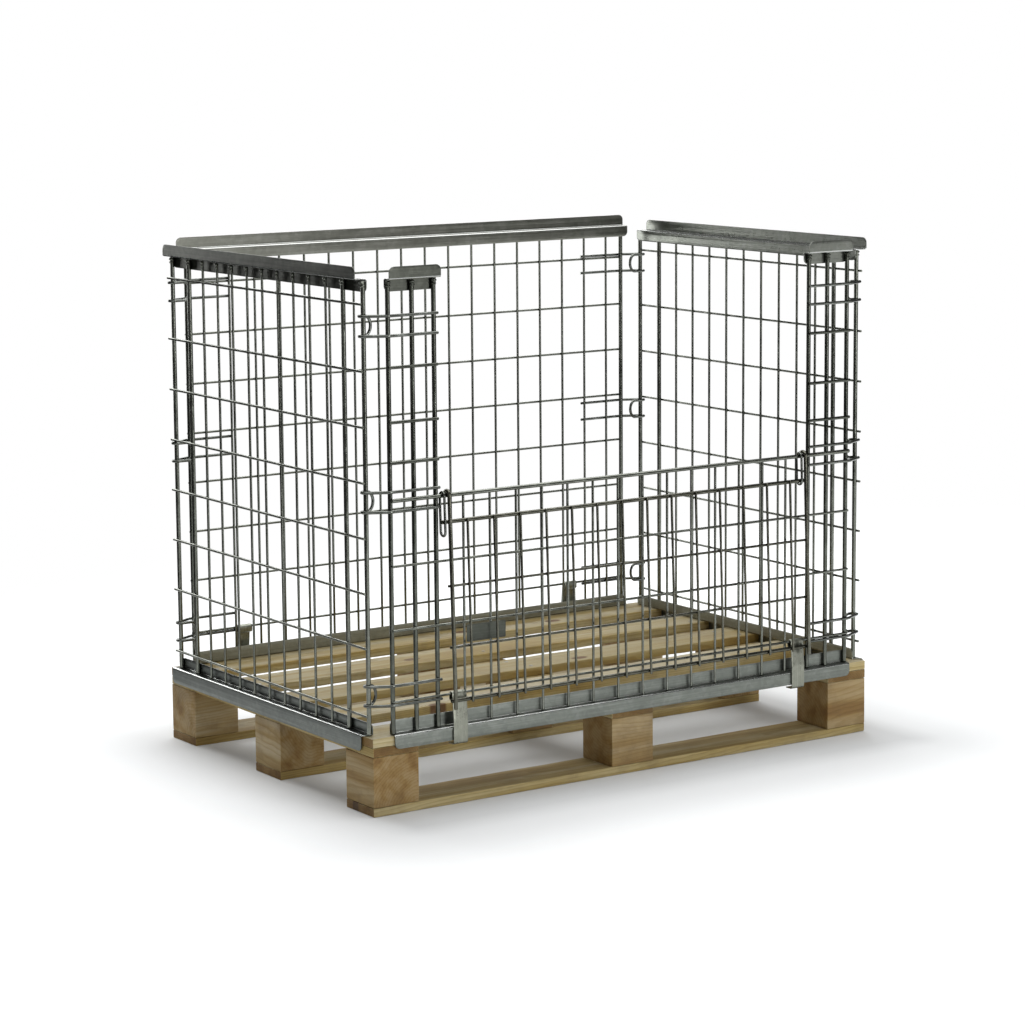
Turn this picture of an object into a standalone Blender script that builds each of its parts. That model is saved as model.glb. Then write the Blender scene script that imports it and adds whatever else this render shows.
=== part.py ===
# Cage pallet: a four-way wooden pallet with a folding wire cage, a drop gate and pallet clips.
# Metres, +Z up. The origin is the middle of the pallet's underside, +X runs along its long side
# and the gate is on the front, at -Y.
import math

import bmesh
import bpy
from mathutils import Matrix, Vector

# Fits
SEAT_GAP = 0.0003            # between pieces that touch
WELD_SINK = 0.0004           # how far crossing bars sink into each other where they are welded

# Pallet
PALLET_LENGTH = 1.2
PALLET_WIDTH = 0.8
BOTTOM_BOARD_WIDTH = 0.1
BOTTOM_BOARD_THICK = 0.017
BLOCK_LENGTH = 0.1
BLOCK_WIDTH = 0.1
BLOCK_HEIGHT = 0.0965
CROSS_BOARD_WIDTH = 0.1
CROSS_BOARD_THICK = 0.0178
DECK_BOARD_WIDTH = 0.096
DECK_BOARD_THICK = 0.0178
DECK_BOARD_COUNT = 5
BOARD_EDGE = 0.0015          # worn edge of a sawn board

# Steel bars and sheet
THICK_BAR = 0.008
THIN_BAR = 0.005
LOOP_WIRE = 0.006
LINK_WIRE = 0.005
RUNG_WIRE = 0.006
SHEET = 0.002
LABEL_SHEET = 0.001

# Cage
BAR_INSET = 0.009            # thick bars' centre line inside the pallet's edge
LONG_END_INSET = 0.05        # end bars of the long sides, from the pallet's end
SHORT_END_INSET = 0.028      # end bars of the short sides, from the pallet's side
SHORT_SECOND_STEP = 0.071    # from a short side's end bar to its second thick bar
MESH_PITCH = 0.06
CAGE_RISE = 0.855            # underside of the top ledge above the deck
ROW_OVERHANG = 0.002         # rows past the centre line of an end bar
SHORT_ROW_LONG_OVERHANG = 0.01
REAR_LIFT = 0.0105           # the rear's top ledge above the short sides' ledges

# Heights of the mesh rows above the deck, and drops of the highest ones below the top ledge
SHORT_LOW_ROW = 0.038
SHORT_FIRST_ROW = 0.167
SHORT_ROW_PITCH = 0.104
SHORT_TOP_DROP = 0.044
REAR_LOW_ROW = 0.066
REAR_FIRST_ROW = 0.177
REAR_ROW_PITCH = 0.1027
REAR_TOP_DROP = 0.0695
FRONT_LOW_ROW = 0.064
MID_RAIL_RISE = 0.445
FRONT_ROW_DROPS = (0.124, 0.246)      # below the mid rail

# Front posts
POST_WIDTH = 0.1             # between the centre lines of a post's outer and inner bar
POST_MIDDLE_STEP = 0.052     # from the outer bar to the middle one
POST_RUNG_RISES = (0.07, 0.146, 0.248)  # above the mid rail
POST_RUNG_OVERHANG = 0.004
POST_RAIL_OVERHANG = 0.009

# Rails
BOTTOM_RAIL_LEG = 0.026
SIDE_RAIL_INNER_LEG = 0.0215 # bottom rails of the short sides
SIDE_RAIL_OUTER_LEG = 0.031
TOP_RAIL_LEG = 0.0235
REAR_RAIL_OVERHANG = 0.011   # the rear's top rail past the ends of its bottom rail
SIDE_RAIL_SKEW = 0.012       # outer legs of the short sides' rails, shifted along the rail
RAIL_FLANGE_GAP = 0.0025     # between the pallet's edge and a rail's outer leg
RAIL_CORNER = 0.011          # rounded corners of the rail legs
RAIL_FOLD = 0.0025           # bend between a leg and the ledge

# Gate
GATE_SIDE_GAP = 0.02         # from a post's inner bar to the gate's side bar
GATE_LENGTH = 0.407          # side bars below the hinge axis
GATE_SECOND_DROP = 0.05
GATE_BOTTOM_RISE = 0.016     # bottom bar above the side bars' feet
GATE_ROW_RISES = (0.102, 0.219)       # above the bottom bar
GATE_BAR_OVERHANG = 0.006    # thin bars past the gate's cross bars
GATE_CROSS_OVERHANG = 0.005  # cross bars past the side bars' centre lines
GATE_TONGUE = 0.0145         # the second bar's left end past the side bar's centre line
GATE_LEAN = math.radians(2.2)
GATE_HOOK_TURN = math.radians(205)
LINK_HALF_WIDTH = 0.008
LINK_LONG = 0.088
LINK_SHORT = 0.069
LINK_LONG_OUT = 0.011        # the long link outside the left side bar
LINK_SHORT_IN = 0.01         # the short link inside the right side bar

# Corner hinge loops
HINGE_SPREAD = 0.037         # between a loop's upper and lower leg
HINGE_LEG_OVERHANG = 0.005   # legs past the inner bar of a post
HINGE_BEND_OUT = 0.006       # legs bend inward this far past the long side's end bar
HINGE_FRONT_RETURN = 0.007   # run back into the cage from the short side's end bar
HINGE_REAR_RETURN = 0.021
HINGE_BULGE = 0.013
HINGE_MIDDLE_LIFT = -0.002   # front middle loop's centre against the mid rail
FRONT_HIGH_DROP = 0.022      # front high loop below the short side's top row
REAR_MIDDLE_ROW = 4          # short side's row that the rear middle loop lies under
REAR_MIDDLE_GAP = 0.0015

# Pallet clips
CLIP_WIDTH = 0.032
CLIP_SIDE_GAP = 0.001
CLIP_EYE_HALF = 0.005        # half the width of the eye at the top of a clip
CLIP_EYE_DEPTH = 0.011
CLIP_FLANGE_GAP = 0.0015
CLIP_BEND_RISE = 0.013       # bend above the rail's ledge
CLIP_TOE_DROP = 0.0075       # toe below the rail's outer leg
CLIP_TOE_REACH = 0.019
CLIP_TOE_TURN = 0.004
CLIP_SLIDE = {"front_left": 0.0, "front_right": 0.25, "rear_left": 1.0, "rear_right": 0.0}

# Label plate
LABEL_WIDTH = 0.089
LABEL_HEIGHT = 0.033
LABEL_RISE = 0.1755          # its middle above the deck

# Smoothness
BAR_SIDES = 2                # bevel resolution of straight bars
LOOP_SIDES = 1               # bevel resolution of bent wires
ARC_STEP = math.radians(30)

# Worked out from the sizes above
BLOCKS_Z = BOTTOM_BOARD_THICK + SEAT_GAP
CROSS_Z = BLOCKS_Z + BLOCK_HEIGHT + SEAT_GAP
DECK_Z = CROSS_Z + CROSS_BOARD_THICK + SEAT_GAP
DECK_TOP = DECK_Z + DECK_BOARD_THICK
LEDGE_Z = DECK_TOP + SEAT_GAP + SHEET / 2
TOP_LEDGE_Z = DECK_TOP + CAGE_RISE + SHEET / 2
BAR_FOOT = LEDGE_Z + RAIL_FOLD          # bars end where the rails' bends do
BAR_TOP = TOP_LEDGE_Z - RAIL_FOLD
THICK_R = THICK_BAR / 2
THIN_R = THIN_BAR / 2
LOOP_R = LOOP_WIRE / 2
LONG_PLANE = PALLET_WIDTH / 2 - BAR_INSET
SHORT_PLANE = PALLET_LENGTH / 2 - BAR_INSET
LONG_END = PALLET_LENGTH / 2 - LONG_END_INSET
SHORT_END = PALLET_WIDTH / 2 - SHORT_END_INSET
POST_INNER = LONG_END - POST_WIDTH
MID_RAIL_Z = DECK_TOP + MID_RAIL_RISE
GATE_SIDE = POST_INNER - GATE_SIDE_GAP
GATE_OFFSET = 2 * THICK_R + SEAT_GAP
GATE_BOTTOM_DROP = GATE_LENGTH - GATE_BOTTOM_RISE
FRONT_ROWS = [DECK_TOP + FRONT_LOW_ROW] + [MID_RAIL_Z - drop for drop in FRONT_ROW_DROPS]


def mesh_rows(low, first, pitch, top):
    """Heights of a full panel's rows: the low one, as many at the pitch as fit, and the top one."""
    count = int((top - first) / pitch)
    return [DECK_TOP + rise for rise in (low, *(first + pitch * step for step in range(count)), top)]


SHORT_ROWS = mesh_rows(SHORT_LOW_ROW, SHORT_FIRST_ROW, SHORT_ROW_PITCH, CAGE_RISE - SHORT_TOP_DROP)
REAR_ROWS = mesh_rows(REAR_LOW_ROW, REAR_FIRST_ROW, REAR_ROW_PITCH, CAGE_RISE + REAR_LIFT - REAR_TOP_DROP)


# Scene and materials

def clear_scene():
    for old in list(bpy.data.objects):
        bpy.data.objects.remove(old)


def collection(name):
    made = bpy.data.collections.new(name)
    bpy.context.scene.collection.children.link(made)
    return made


def material(name, colour, roughness, metallic):
    made = bpy.data.materials.new(name)
    made.use_nodes = True
    shader = made.node_tree.nodes["Principled BSDF"]
    shader.inputs["Base Color"].default_value = (*colour, 1.0)
    shader.inputs["Roughness"].default_value = roughness
    shader.inputs["Metallic"].default_value = metallic
    return made


clear_scene()
PARTS = collection("cage_pallet")
CUTTERS = collection("cutters")
SAWN_PINE = material("sawn_pine", (0.62, 0.49, 0.33), 0.75, 0.0)
DARK_PINE = material("dark_pine", (0.42, 0.29, 0.16), 0.8, 0.0)
ZINC_BAR = material("zinc_bar", (0.30, 0.30, 0.27), 0.45, 0.9)
ZINC_SHEET = material("zinc_sheet", (0.42, 0.43, 0.42), 0.5, 0.9)
BARE_PLATE = material("bare_plate", (0.55, 0.55, 0.53), 0.4, 0.9)


# Making pieces

def add(name, data, surface, where=None):
    piece = bpy.data.objects.new(name, data)
    data.materials.append(surface)
    (where or PARTS).objects.link(piece)
    return piece


def smooth(mesh):
    mesh.shade_smooth()
    mesh.set_sharp_from_angle(angle=math.radians(40))


def block(name, size, centre, surface, edge):
    shape = bmesh.new()
    bmesh.ops.create_cube(shape, size=1.0, matrix=Matrix.Diagonal((*size, 1.0)))
    mesh = bpy.data.meshes.new(name)
    shape.to_mesh(mesh)
    shape.free()
    piece = add(name, mesh, surface)
    piece.location = centre
    bevel = piece.modifiers.new("worn_edge", "BEVEL")
    bevel.width = edge
    bevel.segments = 1
    return piece


def wire_curve(name, runs, sides, closed=False):
    curve = bpy.data.curves.new(name, "CURVE")
    curve.dimensions = "3D"
    curve.bevel_depth = 1.0
    curve.bevel_resolution = sides
    curve.use_fill_caps = True
    for points, radius in runs:
        spline = curve.splines.new("POLY")
        spline.points.add(len(points) - 1)
        spline.use_cyclic_u = closed
        for spot, place in zip(spline.points, points):
            spot.co = (*place, 1.0)
            spot.radius = radius
    return curve


def bars(name, runs, surface, where=None):
    """Straight or bent bars made one mesh with welded caps."""
    curve = bpy.data.objects.new(name, wire_curve(name, runs, BAR_SIDES))
    PARTS.objects.link(curve)
    bpy.context.view_layer.update()
    evaluated = curve.evaluated_get(bpy.context.evaluated_depsgraph_get())
    mesh = bpy.data.meshes.new_from_object(evaluated)
    bpy.data.objects.remove(curve)
    shape = bmesh.new()
    shape.from_mesh(mesh)
    bmesh.ops.remove_doubles(shape, verts=shape.verts, dist=0.00001)
    shape.to_mesh(mesh)
    shape.free()
    smooth(mesh)
    return add(name, mesh, surface, where)


def welded_mesh(name, uprights, rows, surface):
    """A welded panel: one solid of its upright bars and the bars that cross them."""
    panel = bars(name, uprights, surface)
    cross = bars(name + "_rows", rows, surface, CUTTERS)
    cross.hide_render = True
    cross.display_type = "WIRE"
    join = panel.modifiers.new("weld", "BOOLEAN")
    join.operation = "UNION"
    join.solver = "EXACT"
    join.object = cross
    return panel, cross


def stand(pieces, turn, out=0.0):
    """Turns pieces made for the front, facing -Y, to their own side of the cage."""
    for piece in pieces:
        piece.rotation_euler.z = turn
        piece.location = Matrix.Rotation(turn, 3, "Z") @ Vector((0.0, -out, 0.0))


def arc(centre, radius, start, end):
    """Points in a plane on an arc, both ends included."""
    steps = max(2, math.ceil(abs(end - start) / ARC_STEP))
    turns = [start + (end - start) * step / steps for step in range(steps + 1)]
    return [(centre[0] + radius * math.cos(turn), centre[1] + radius * math.sin(turn)) for turn in turns]


def upright(x, y, foot, top, radius):
    return [(x, y, foot), (x, y, top)], radius


def row(start, end, y, z, radius):
    return [(start, y, z), (end, y, z)], radius


def both_ways(places):
    return sorted({side * place for place in places for side in (-1, 1)})


def pitch_places(limit, first):
    """Thin bars either side of the middle, at the mesh's pitch, half a pitch clear of the limit."""
    count = int((limit - MESH_PITCH / 2 - first) / MESH_PITCH) + 1
    return both_ways([first + MESH_PITCH * step for step in range(count)])


# Pallet

def pallet():
    side_rows = {"front": -1, "middle": 0, "rear": 1}
    columns = {"left": -1, "middle": 0, "right": 1}
    for row_name, side in side_rows.items():
        y = side * (PALLET_WIDTH - BOTTOM_BOARD_WIDTH) / 2
        size = (PALLET_LENGTH, BOTTOM_BOARD_WIDTH, BOTTOM_BOARD_THICK)
        block("bottom_board_" + row_name, size, (0, y, BOTTOM_BOARD_THICK / 2), SAWN_PINE, BOARD_EDGE)
    for row_name, side in side_rows.items():
        for column_name, end in columns.items():
            x = end * (PALLET_LENGTH - BLOCK_LENGTH) / 2
            y = side * (PALLET_WIDTH - BLOCK_WIDTH) / 2
            size = (BLOCK_LENGTH, BLOCK_WIDTH, BLOCK_HEIGHT)
            name = f"block_{row_name}_{column_name}"
            block(name, size, (x, y, BLOCKS_Z + BLOCK_HEIGHT / 2), DARK_PINE, BOARD_EDGE)
    for column_name, end in columns.items():
        x = end * (PALLET_LENGTH - CROSS_BOARD_WIDTH) / 2
        size = (CROSS_BOARD_WIDTH, PALLET_WIDTH, CROSS_BOARD_THICK)
        name = "cross_board_" + column_name
        block(name, size, (x, 0, CROSS_Z + CROSS_BOARD_THICK / 2), SAWN_PINE, BOARD_EDGE)
    step = (PALLET_WIDTH - DECK_BOARD_WIDTH) / (DECK_BOARD_COUNT - 1)
    for number in range(DECK_BOARD_COUNT):
        y = (DECK_BOARD_WIDTH - PALLET_WIDTH) / 2 + step * number
        size = (PALLET_LENGTH, DECK_BOARD_WIDTH, DECK_BOARD_THICK)
        name = f"deck_board_{number + 1}"
        block(name, size, (0, y, DECK_Z + DECK_BOARD_THICK / 2), SAWN_PINE, BOARD_EDGE)


# Rails

def rail(name, start, end, z, legs, rise, turn, side_plane, pallet_edge, skew=0.0):
    """A folded sheet: the inner leg stands behind the bars, the ledge carries them and the outer leg
    laps the pallet's edge or the load unit above. rise is 1 with the inner leg up, -1 with it down."""
    inner = side_plane - THICK_R - SEAT_GAP - SHEET / 2
    outer = pallet_edge + RAIL_FLANGE_GAP + SHEET / 2
    shape = bmesh.new()
    place = Matrix.Translation(((start + end) / 2, -(inner + outer) / 2, z))
    place = place @ Matrix.Diagonal((end - start, outer - inner, 1.0, 1.0))
    bmesh.ops.create_grid(shape, x_segments=1, y_segments=1, size=0.5, matrix=place)
    outside = [vert for vert in shape.verts if vert.co.y < -(inner + outer) / 2]
    bmesh.ops.translate(shape, verts=outside, vec=(-skew, 0, 0))
    folds = [edge for edge in shape.edges if abs(edge.verts[0].co.y - edge.verts[1].co.y) < SHEET / 2]
    for fold in folds:
        way, leg = (-rise, legs[1]) if fold.verts[0] in outside else (rise, legs[0])
        grown = bmesh.ops.extrude_edge_only(shape, edges=[fold])["geom"]
        tips = [item for item in grown if isinstance(item, bmesh.types.BMVert)]
        bmesh.ops.translate(shape, verts=tips, vec=(0, 0, way * leg))
    folds = [edge for edge in shape.edges if len(edge.link_faces) == 2]
    bmesh.ops.bevel(shape, geom=folds, offset=RAIL_FOLD, segments=2, profile=0.5, affect="EDGES")
    tips = [vert for vert in shape.verts if abs(vert.co.z - z) > min(legs) - SHEET / 2]
    bmesh.ops.bevel(shape, geom=tips, offset=RAIL_CORNER, segments=3, profile=0.5, affect="VERTICES")
    bmesh.ops.recalc_face_normals(shape, faces=shape.faces)
    mesh = bpy.data.meshes.new(name)
    shape.to_mesh(mesh)
    shape.free()
    smooth(mesh)
    piece = add(name, mesh, ZINC_SHEET)
    sheet = piece.modifiers.new("sheet", "SOLIDIFY")
    sheet.thickness = SHEET
    sheet.offset = 0.0
    sheet.use_even_offset = True
    stand([piece], turn)


def rails():
    long_half = LONG_END + THICK_R
    short_half = SHORT_END + THICK_R
    rear_half = long_half + REAR_RAIL_OVERHANG
    long_side = (LONG_PLANE, PALLET_WIDTH / 2)
    short_side = (SHORT_PLANE, PALLET_LENGTH / 2, SIDE_RAIL_SKEW)
    long_legs = (BOTTOM_RAIL_LEG, BOTTOM_RAIL_LEG)
    short_legs = (SIDE_RAIL_INNER_LEG, SIDE_RAIL_OUTER_LEG)
    top_legs = (TOP_RAIL_LEG, TOP_RAIL_LEG)
    for name, turn in (("front", 0.0), ("rear", math.pi)):
        rail("bottom_rail_" + name, -long_half, long_half, LEDGE_Z, long_legs, 1, turn, *long_side)
    for name, turn in (("right", math.pi / 2), ("left", -math.pi / 2)):
        rail("bottom_rail_" + name, -short_half, short_half, LEDGE_Z, short_legs, 1, turn, *short_side)
        rail("top_rail_" + name, -short_half, short_half, TOP_LEDGE_Z, top_legs, -1, turn, *short_side)
    rail("top_rail_rear", -rear_half, rear_half, TOP_LEDGE_Z + REAR_LIFT, top_legs, -1, math.pi, *long_side)
    inner_end = POST_INNER - POST_RAIL_OVERHANG
    rail("top_rail_front_left", -long_half, -inner_end, TOP_LEDGE_Z, top_legs, -1, 0.0, *long_side)
    rail("top_rail_front_right", inner_end, long_half, TOP_LEDGE_Z, top_legs, -1, 0.0, *long_side)


# Wire panels. Each is made facing -Y: its thick bars' plane at y = 0 and its rows outside them.

def thin_plane(row_y):
    return row_y + 2 * THIN_R - WELD_SINK


def short_panel(name, turn):
    """A short side. The left and right ones are the same piece, turned half round."""
    row_y = -(THICK_R + THIN_R - WELD_SINK)
    uprights = [upright(x, 0.0, BAR_FOOT, BAR_TOP, THICK_R)
                for x in both_ways([SHORT_END, SHORT_END - SHORT_SECOND_STEP])]
    uprights += [upright(x, thin_plane(row_y), BAR_FOOT, BAR_TOP, THIN_R)
                 for x in pitch_places(SHORT_END - SHORT_SECOND_STEP, 0.0)]
    long_end = -SHORT_END - SHORT_ROW_LONG_OVERHANG
    rows = [row(long_end, SHORT_END + ROW_OVERHANG, row_y, z, THIN_R) for z in SHORT_ROWS]
    stand(welded_mesh(name, uprights, rows, ZINC_BAR), turn, SHORT_PLANE)


def rear_panel():
    row_y = -(THICK_R + THIN_R - WELD_SINK)
    bar_top = BAR_TOP + REAR_LIFT
    uprights = [upright(x, 0.0, BAR_FOOT, bar_top, THICK_R) for x in (-LONG_END, LONG_END)]
    uprights += [upright(x, thin_plane(row_y), BAR_FOOT, bar_top, THIN_R)
                 for x in pitch_places(LONG_END, MESH_PITCH / 2)]
    half = LONG_END + ROW_OVERHANG
    rows = [row(-half, half, row_y, z, THIN_R) for z in REAR_ROWS]
    stand(welded_mesh("rear_mesh", uprights, rows, ZINC_BAR), math.pi, LONG_PLANE)


def front_panel():
    """The fixed lower half: its rows and the mid rail lie against the outside of the posts' bars."""
    row_y = -(THICK_R + SEAT_GAP + THIN_R)
    rail_y = -(THICK_R + SEAT_GAP + THICK_R)
    uprights = [upright(x, thin_plane(row_y), BAR_FOOT, MID_RAIL_Z + THIN_R, THIN_R)
                for x in pitch_places(POST_INNER, MESH_PITCH / 2)]
    half = LONG_END + ROW_OVERHANG
    rows = [row(-half, half, row_y, z, THIN_R) for z in FRONT_ROWS]
    rows += [row(-half, half, rail_y, MID_RAIL_Z, THICK_R)]
    stand(welded_mesh("front_mesh", uprights, rows, ZINC_BAR), 0.0, LONG_PLANE)


def front_post(name, side):
    rung_r = RUNG_WIRE / 2
    uprights = [upright(side * x, 0.0, BAR_FOOT, BAR_TOP, THICK_R)
                for x in (LONG_END, LONG_END - POST_MIDDLE_STEP, POST_INNER)]
    ends = sorted((side * (POST_INNER - POST_RUNG_OVERHANG), side * (LONG_END + POST_RUNG_OVERHANG)))
    rung_y = -(THICK_R + rung_r - WELD_SINK)
    rungs = [row(*ends, rung_y, MID_RAIL_Z + rise, rung_r) for rise in POST_RUNG_RISES]
    stand(welded_mesh(name, uprights, rungs, ZINC_BAR), 0.0, LONG_PLANE)


# Gate. Made hanging straight down from the hinge axis, then leaned out by its empty.

def gate():
    axis_y = -(LONG_PLANE + THICK_R + SEAT_GAP + THICK_R)
    axis = bpy.data.objects.new("gate_axis", None)
    PARTS.objects.link(axis)
    axis.location = (0.0, axis_y, MID_RAIL_Z)
    axis.rotation_euler.x = -GATE_LEAN
    hook = [(-y, z) for y, z in arc((0.0, 0.0), GATE_OFFSET, 0.0, GATE_HOOK_TURN)]
    uprights = []
    for x in (-GATE_SIDE, GATE_SIDE):
        points = [(x, -GATE_OFFSET, -GATE_LENGTH)] + [(x, y, z) for y, z in hook]
        uprights.append((points, THICK_R))
    thick_y = -(GATE_OFFSET - 2 * THICK_R + WELD_SINK)
    thin_y = -(GATE_OFFSET - THICK_R - THIN_R + WELD_SINK)
    upright_y = thin_y - 2 * THIN_R + WELD_SINK
    head = -GATE_SECOND_DROP + THICK_R
    foot = -GATE_BOTTOM_DROP - GATE_BAR_OVERHANG
    uprights += [upright(x, upright_y, foot, head, THIN_R)
                 for x in pitch_places(GATE_SIDE, MESH_PITCH / 2)]
    half = GATE_SIDE + GATE_CROSS_OVERHANG
    rows = [row(-half, half, thin_y, rise - GATE_BOTTOM_DROP, THIN_R) for rise in GATE_ROW_RISES]
    rows += [row(-half, half, thick_y, -GATE_BOTTOM_DROP, THICK_R)]
    rows += [row(-GATE_SIDE - GATE_TONGUE, half, thick_y, -GATE_SECOND_DROP, THICK_R)]
    for piece in welded_mesh("gate", uprights, rows, ZINC_BAR):
        piece.parent = axis
    gate_link("gate_link_left", -GATE_SIDE - LINK_LONG_OUT, LINK_LONG, axis)
    gate_link("gate_link_right", GATE_SIDE - LINK_SHORT_IN, LINK_SHORT, axis)


def gate_link(name, x, length, axis):
    """A closed wire loop round the mid rail and the gate's second bar."""
    wire_r = LINK_WIRE / 2
    top = THICK_R + SEAT_GAP + wire_r
    upper = top - LINK_HALF_WIDTH
    lower = top + wire_r - length + wire_r + LINK_HALF_WIDTH
    outline = arc((0.0, upper), LINK_HALF_WIDTH, 0.0, math.pi)
    outline += arc((0.0, lower), LINK_HALF_WIDTH, math.pi, 2 * math.pi)
    points = [(x, y, z) for y, z in outline]
    link = add(name, wire_curve(name, [(points, wire_r)], LOOP_SIDES, closed=True), ZINC_BAR)
    link.parent = axis


# Corner hinge loops

def hinge_path(upper, lower, inward):
    """The wire's points in the corner where x and y are positive, from the upper leg's end, round the
    short side's end bar, through the turn inside the cage and back to the lower leg's end."""
    leg_y = LONG_PLANE + THICK_R + SEAT_GAP + LOOP_R
    bend = Vector((LONG_END + HINGE_BEND_OUT, leg_y))
    centre = Vector((SHORT_PLANE, SHORT_END))
    wrap = THICK_R + SEAT_GAP + LOOP_R
    gap = bend - centre
    touch = math.atan2(gap.y, gap.x) - math.acos(wrap / gap.length)
    plan = [(POST_INNER - HINGE_LEG_OVERHANG, leg_y), tuple(bend)]
    plan += arc(centre, wrap, touch, -math.pi / 2)
    turn_x = SHORT_PLANE - inward
    turn_y = SHORT_END - wrap
    middle = (upper + lower) / 2
    spread = (upper - lower) / 2
    turn = [(turn_x - HINGE_BULGE * math.sin(step), turn_y, middle + spread * math.cos(step))
            for step in (math.pi * part / 6 for part in range(7))]
    points = [(x, y, upper) for x, y in plan] + turn
    points += [(x, y, lower) for x, y in reversed(plan)]
    return points


def corner_hinges():
    row_touch = THIN_R + SEAT_GAP + LOOP_R
    top_row = SHORT_ROWS[-1]
    under_row = SHORT_ROWS[REAR_MIDDLE_ROW]
    uppers = {
        ("front", "low"): FRONT_ROWS[0] - row_touch + HINGE_SPREAD,
        ("front", "middle"): MID_RAIL_Z + HINGE_MIDDLE_LIFT + HINGE_SPREAD / 2,
        ("front", "high"): top_row - FRONT_HIGH_DROP,
        ("rear", "low"): REAR_ROWS[0] - row_touch + HINGE_SPREAD,
        ("rear", "middle"): under_row - THIN_R - LOOP_R - REAR_MIDDLE_GAP,
        ("rear", "high"): REAR_ROWS[-1] + row_touch,
    }
    for (end, level), upper in uppers.items():
        y_side, inward = (-1, HINGE_FRONT_RETURN) if end == "front" else (1, HINGE_REAR_RETURN)
        path = hinge_path(upper, upper - HINGE_SPREAD, inward)
        for hand, x_side in (("left", -1), ("right", 1)):
            name = f"corner_hinge_{end}_{hand}_{level}"
            points = [(x_side * x, y_side * y, z) for x, y, z in path]
            add(name, wire_curve(name, [(points, LOOP_R)], LOOP_SIDES), ZINC_BAR)


# Pallet clips

def clip_profile(wire_z, plate_out):
    """The strip's centre line seen along the row that it hangs on: distance outward from the row's
    centre, and height above it. It starts inside the eye and ends at the toe's tip."""
    eye_top = THIN_R + SEAT_GAP + SHEET / 2
    eye_middle = eye_top - CLIP_EYE_HALF
    curl = arc((0.0, eye_top - CLIP_EYE_DEPTH), CLIP_EYE_HALF, -math.pi / 3, -math.pi)
    crown = arc((0.0, eye_middle), CLIP_EYE_HALF, math.pi, 0.0)
    bend_z = LEDGE_Z + CLIP_BEND_RISE - wire_z
    toe_z = LEDGE_Z - BOTTOM_RAIL_LEG - CLIP_TOE_DROP - wire_z
    heel = [(plate_out, bend_z), (plate_out, toe_z + CLIP_TOE_TURN), (plate_out - CLIP_TOE_TURN, toe_z)]
    return curl + crown + heel + [(plate_out - CLIP_TOE_REACH, toe_z)]


def pallet_clip(name, x, row_plane, wire_z, y_side):
    flange = PALLET_WIDTH / 2 + RAIL_FLANGE_GAP + SHEET
    plate_out = flange + CLIP_FLANGE_GAP + SHEET / 2 - row_plane
    shape = bmesh.new()
    spots = [shape.verts.new((-CLIP_WIDTH / 2, -out, z)) for out, z in clip_profile(wire_z, plate_out)]
    strip = [shape.edges.new(pair) for pair in zip(spots, spots[1:])]
    grown = bmesh.ops.extrude_edge_only(shape, edges=strip)["geom"]
    edge = [item for item in grown if isinstance(item, bmesh.types.BMVert)]
    bmesh.ops.translate(shape, verts=edge, vec=(CLIP_WIDTH, 0, 0))
    bmesh.ops.recalc_face_normals(shape, faces=shape.faces)
    mesh = bpy.data.meshes.new(name)
    shape.to_mesh(mesh)
    shape.free()
    smooth(mesh)
    clip = add(name, mesh, ZINC_SHEET)
    clip.location = (x, y_side * row_plane, wire_z)
    clip.rotation_euler.z = 0.0 if y_side < 0 else math.pi
    sheet = clip.modifiers.new("sheet", "SOLIDIFY")
    sheet.thickness = SHEET
    sheet.offset = 0.0
    sheet.use_even_offset = True


def pallet_clips():
    last_bar = pitch_places(POST_INNER, MESH_PITCH / 2)[-1]
    nearest = last_bar + THIN_R + CLIP_SIDE_GAP + CLIP_WIDTH / 2
    furthest = POST_INNER - HINGE_LEG_OVERHANG - CLIP_SIDE_GAP - CLIP_WIDTH / 2
    front_row = LONG_PLANE + THICK_R + SEAT_GAP + THIN_R
    rear_row = LONG_PLANE + THICK_R + THIN_R - WELD_SINK
    for place, slide in CLIP_SLIDE.items():
        end, hand = place.split("_")
        x = nearest + slide * (furthest - nearest)
        x_side = -1 if hand == "left" else 1
        if end == "front":
            pallet_clip("pallet_clip_" + place, x_side * x, front_row, FRONT_ROWS[0], -1)
        else:
            pallet_clip("pallet_clip_" + place, x_side * x, rear_row, REAR_ROWS[0], 1)


# Label plate

def label_plate():
    """A bare plate against the outside of the front mesh's thin bars."""
    row_out = LONG_PLANE + THICK_R + SEAT_GAP + THIN_R
    bar_face = row_out - THIN_R + WELD_SINK
    last_bar = pitch_places(POST_INNER, MESH_PITCH / 2)[-1]
    middle = -(last_bar - THIN_R - SEAT_GAP - LABEL_WIDTH / 2)
    y = -(bar_face + SEAT_GAP + LABEL_SHEET / 2)
    size = (LABEL_WIDTH, LABEL_SHEET, LABEL_HEIGHT)
    block("label_plate", size, (middle, y, DECK_TOP + LABEL_RISE), BARE_PLATE, LABEL_SHEET / 4)


pallet()
rails()
short_panel("side_mesh_left", -math.pi / 2)
short_panel("side_mesh_right", math.pi / 2)
rear_panel()
front_panel()
front_post("front_post_left", -1)
front_post("front_post_right", 1)
gate()
corner_hinges()
pallet_clips()
label_plate()
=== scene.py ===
# Cage pallet: a galvanised wire cage with a drop gate on a four-way pine pallet.
# Metres, +Z up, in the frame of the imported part. The gate is on the front, at -Y.
import math
import random

import bmesh
import bpy
from mathutils import Matrix, Vector, noise


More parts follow.
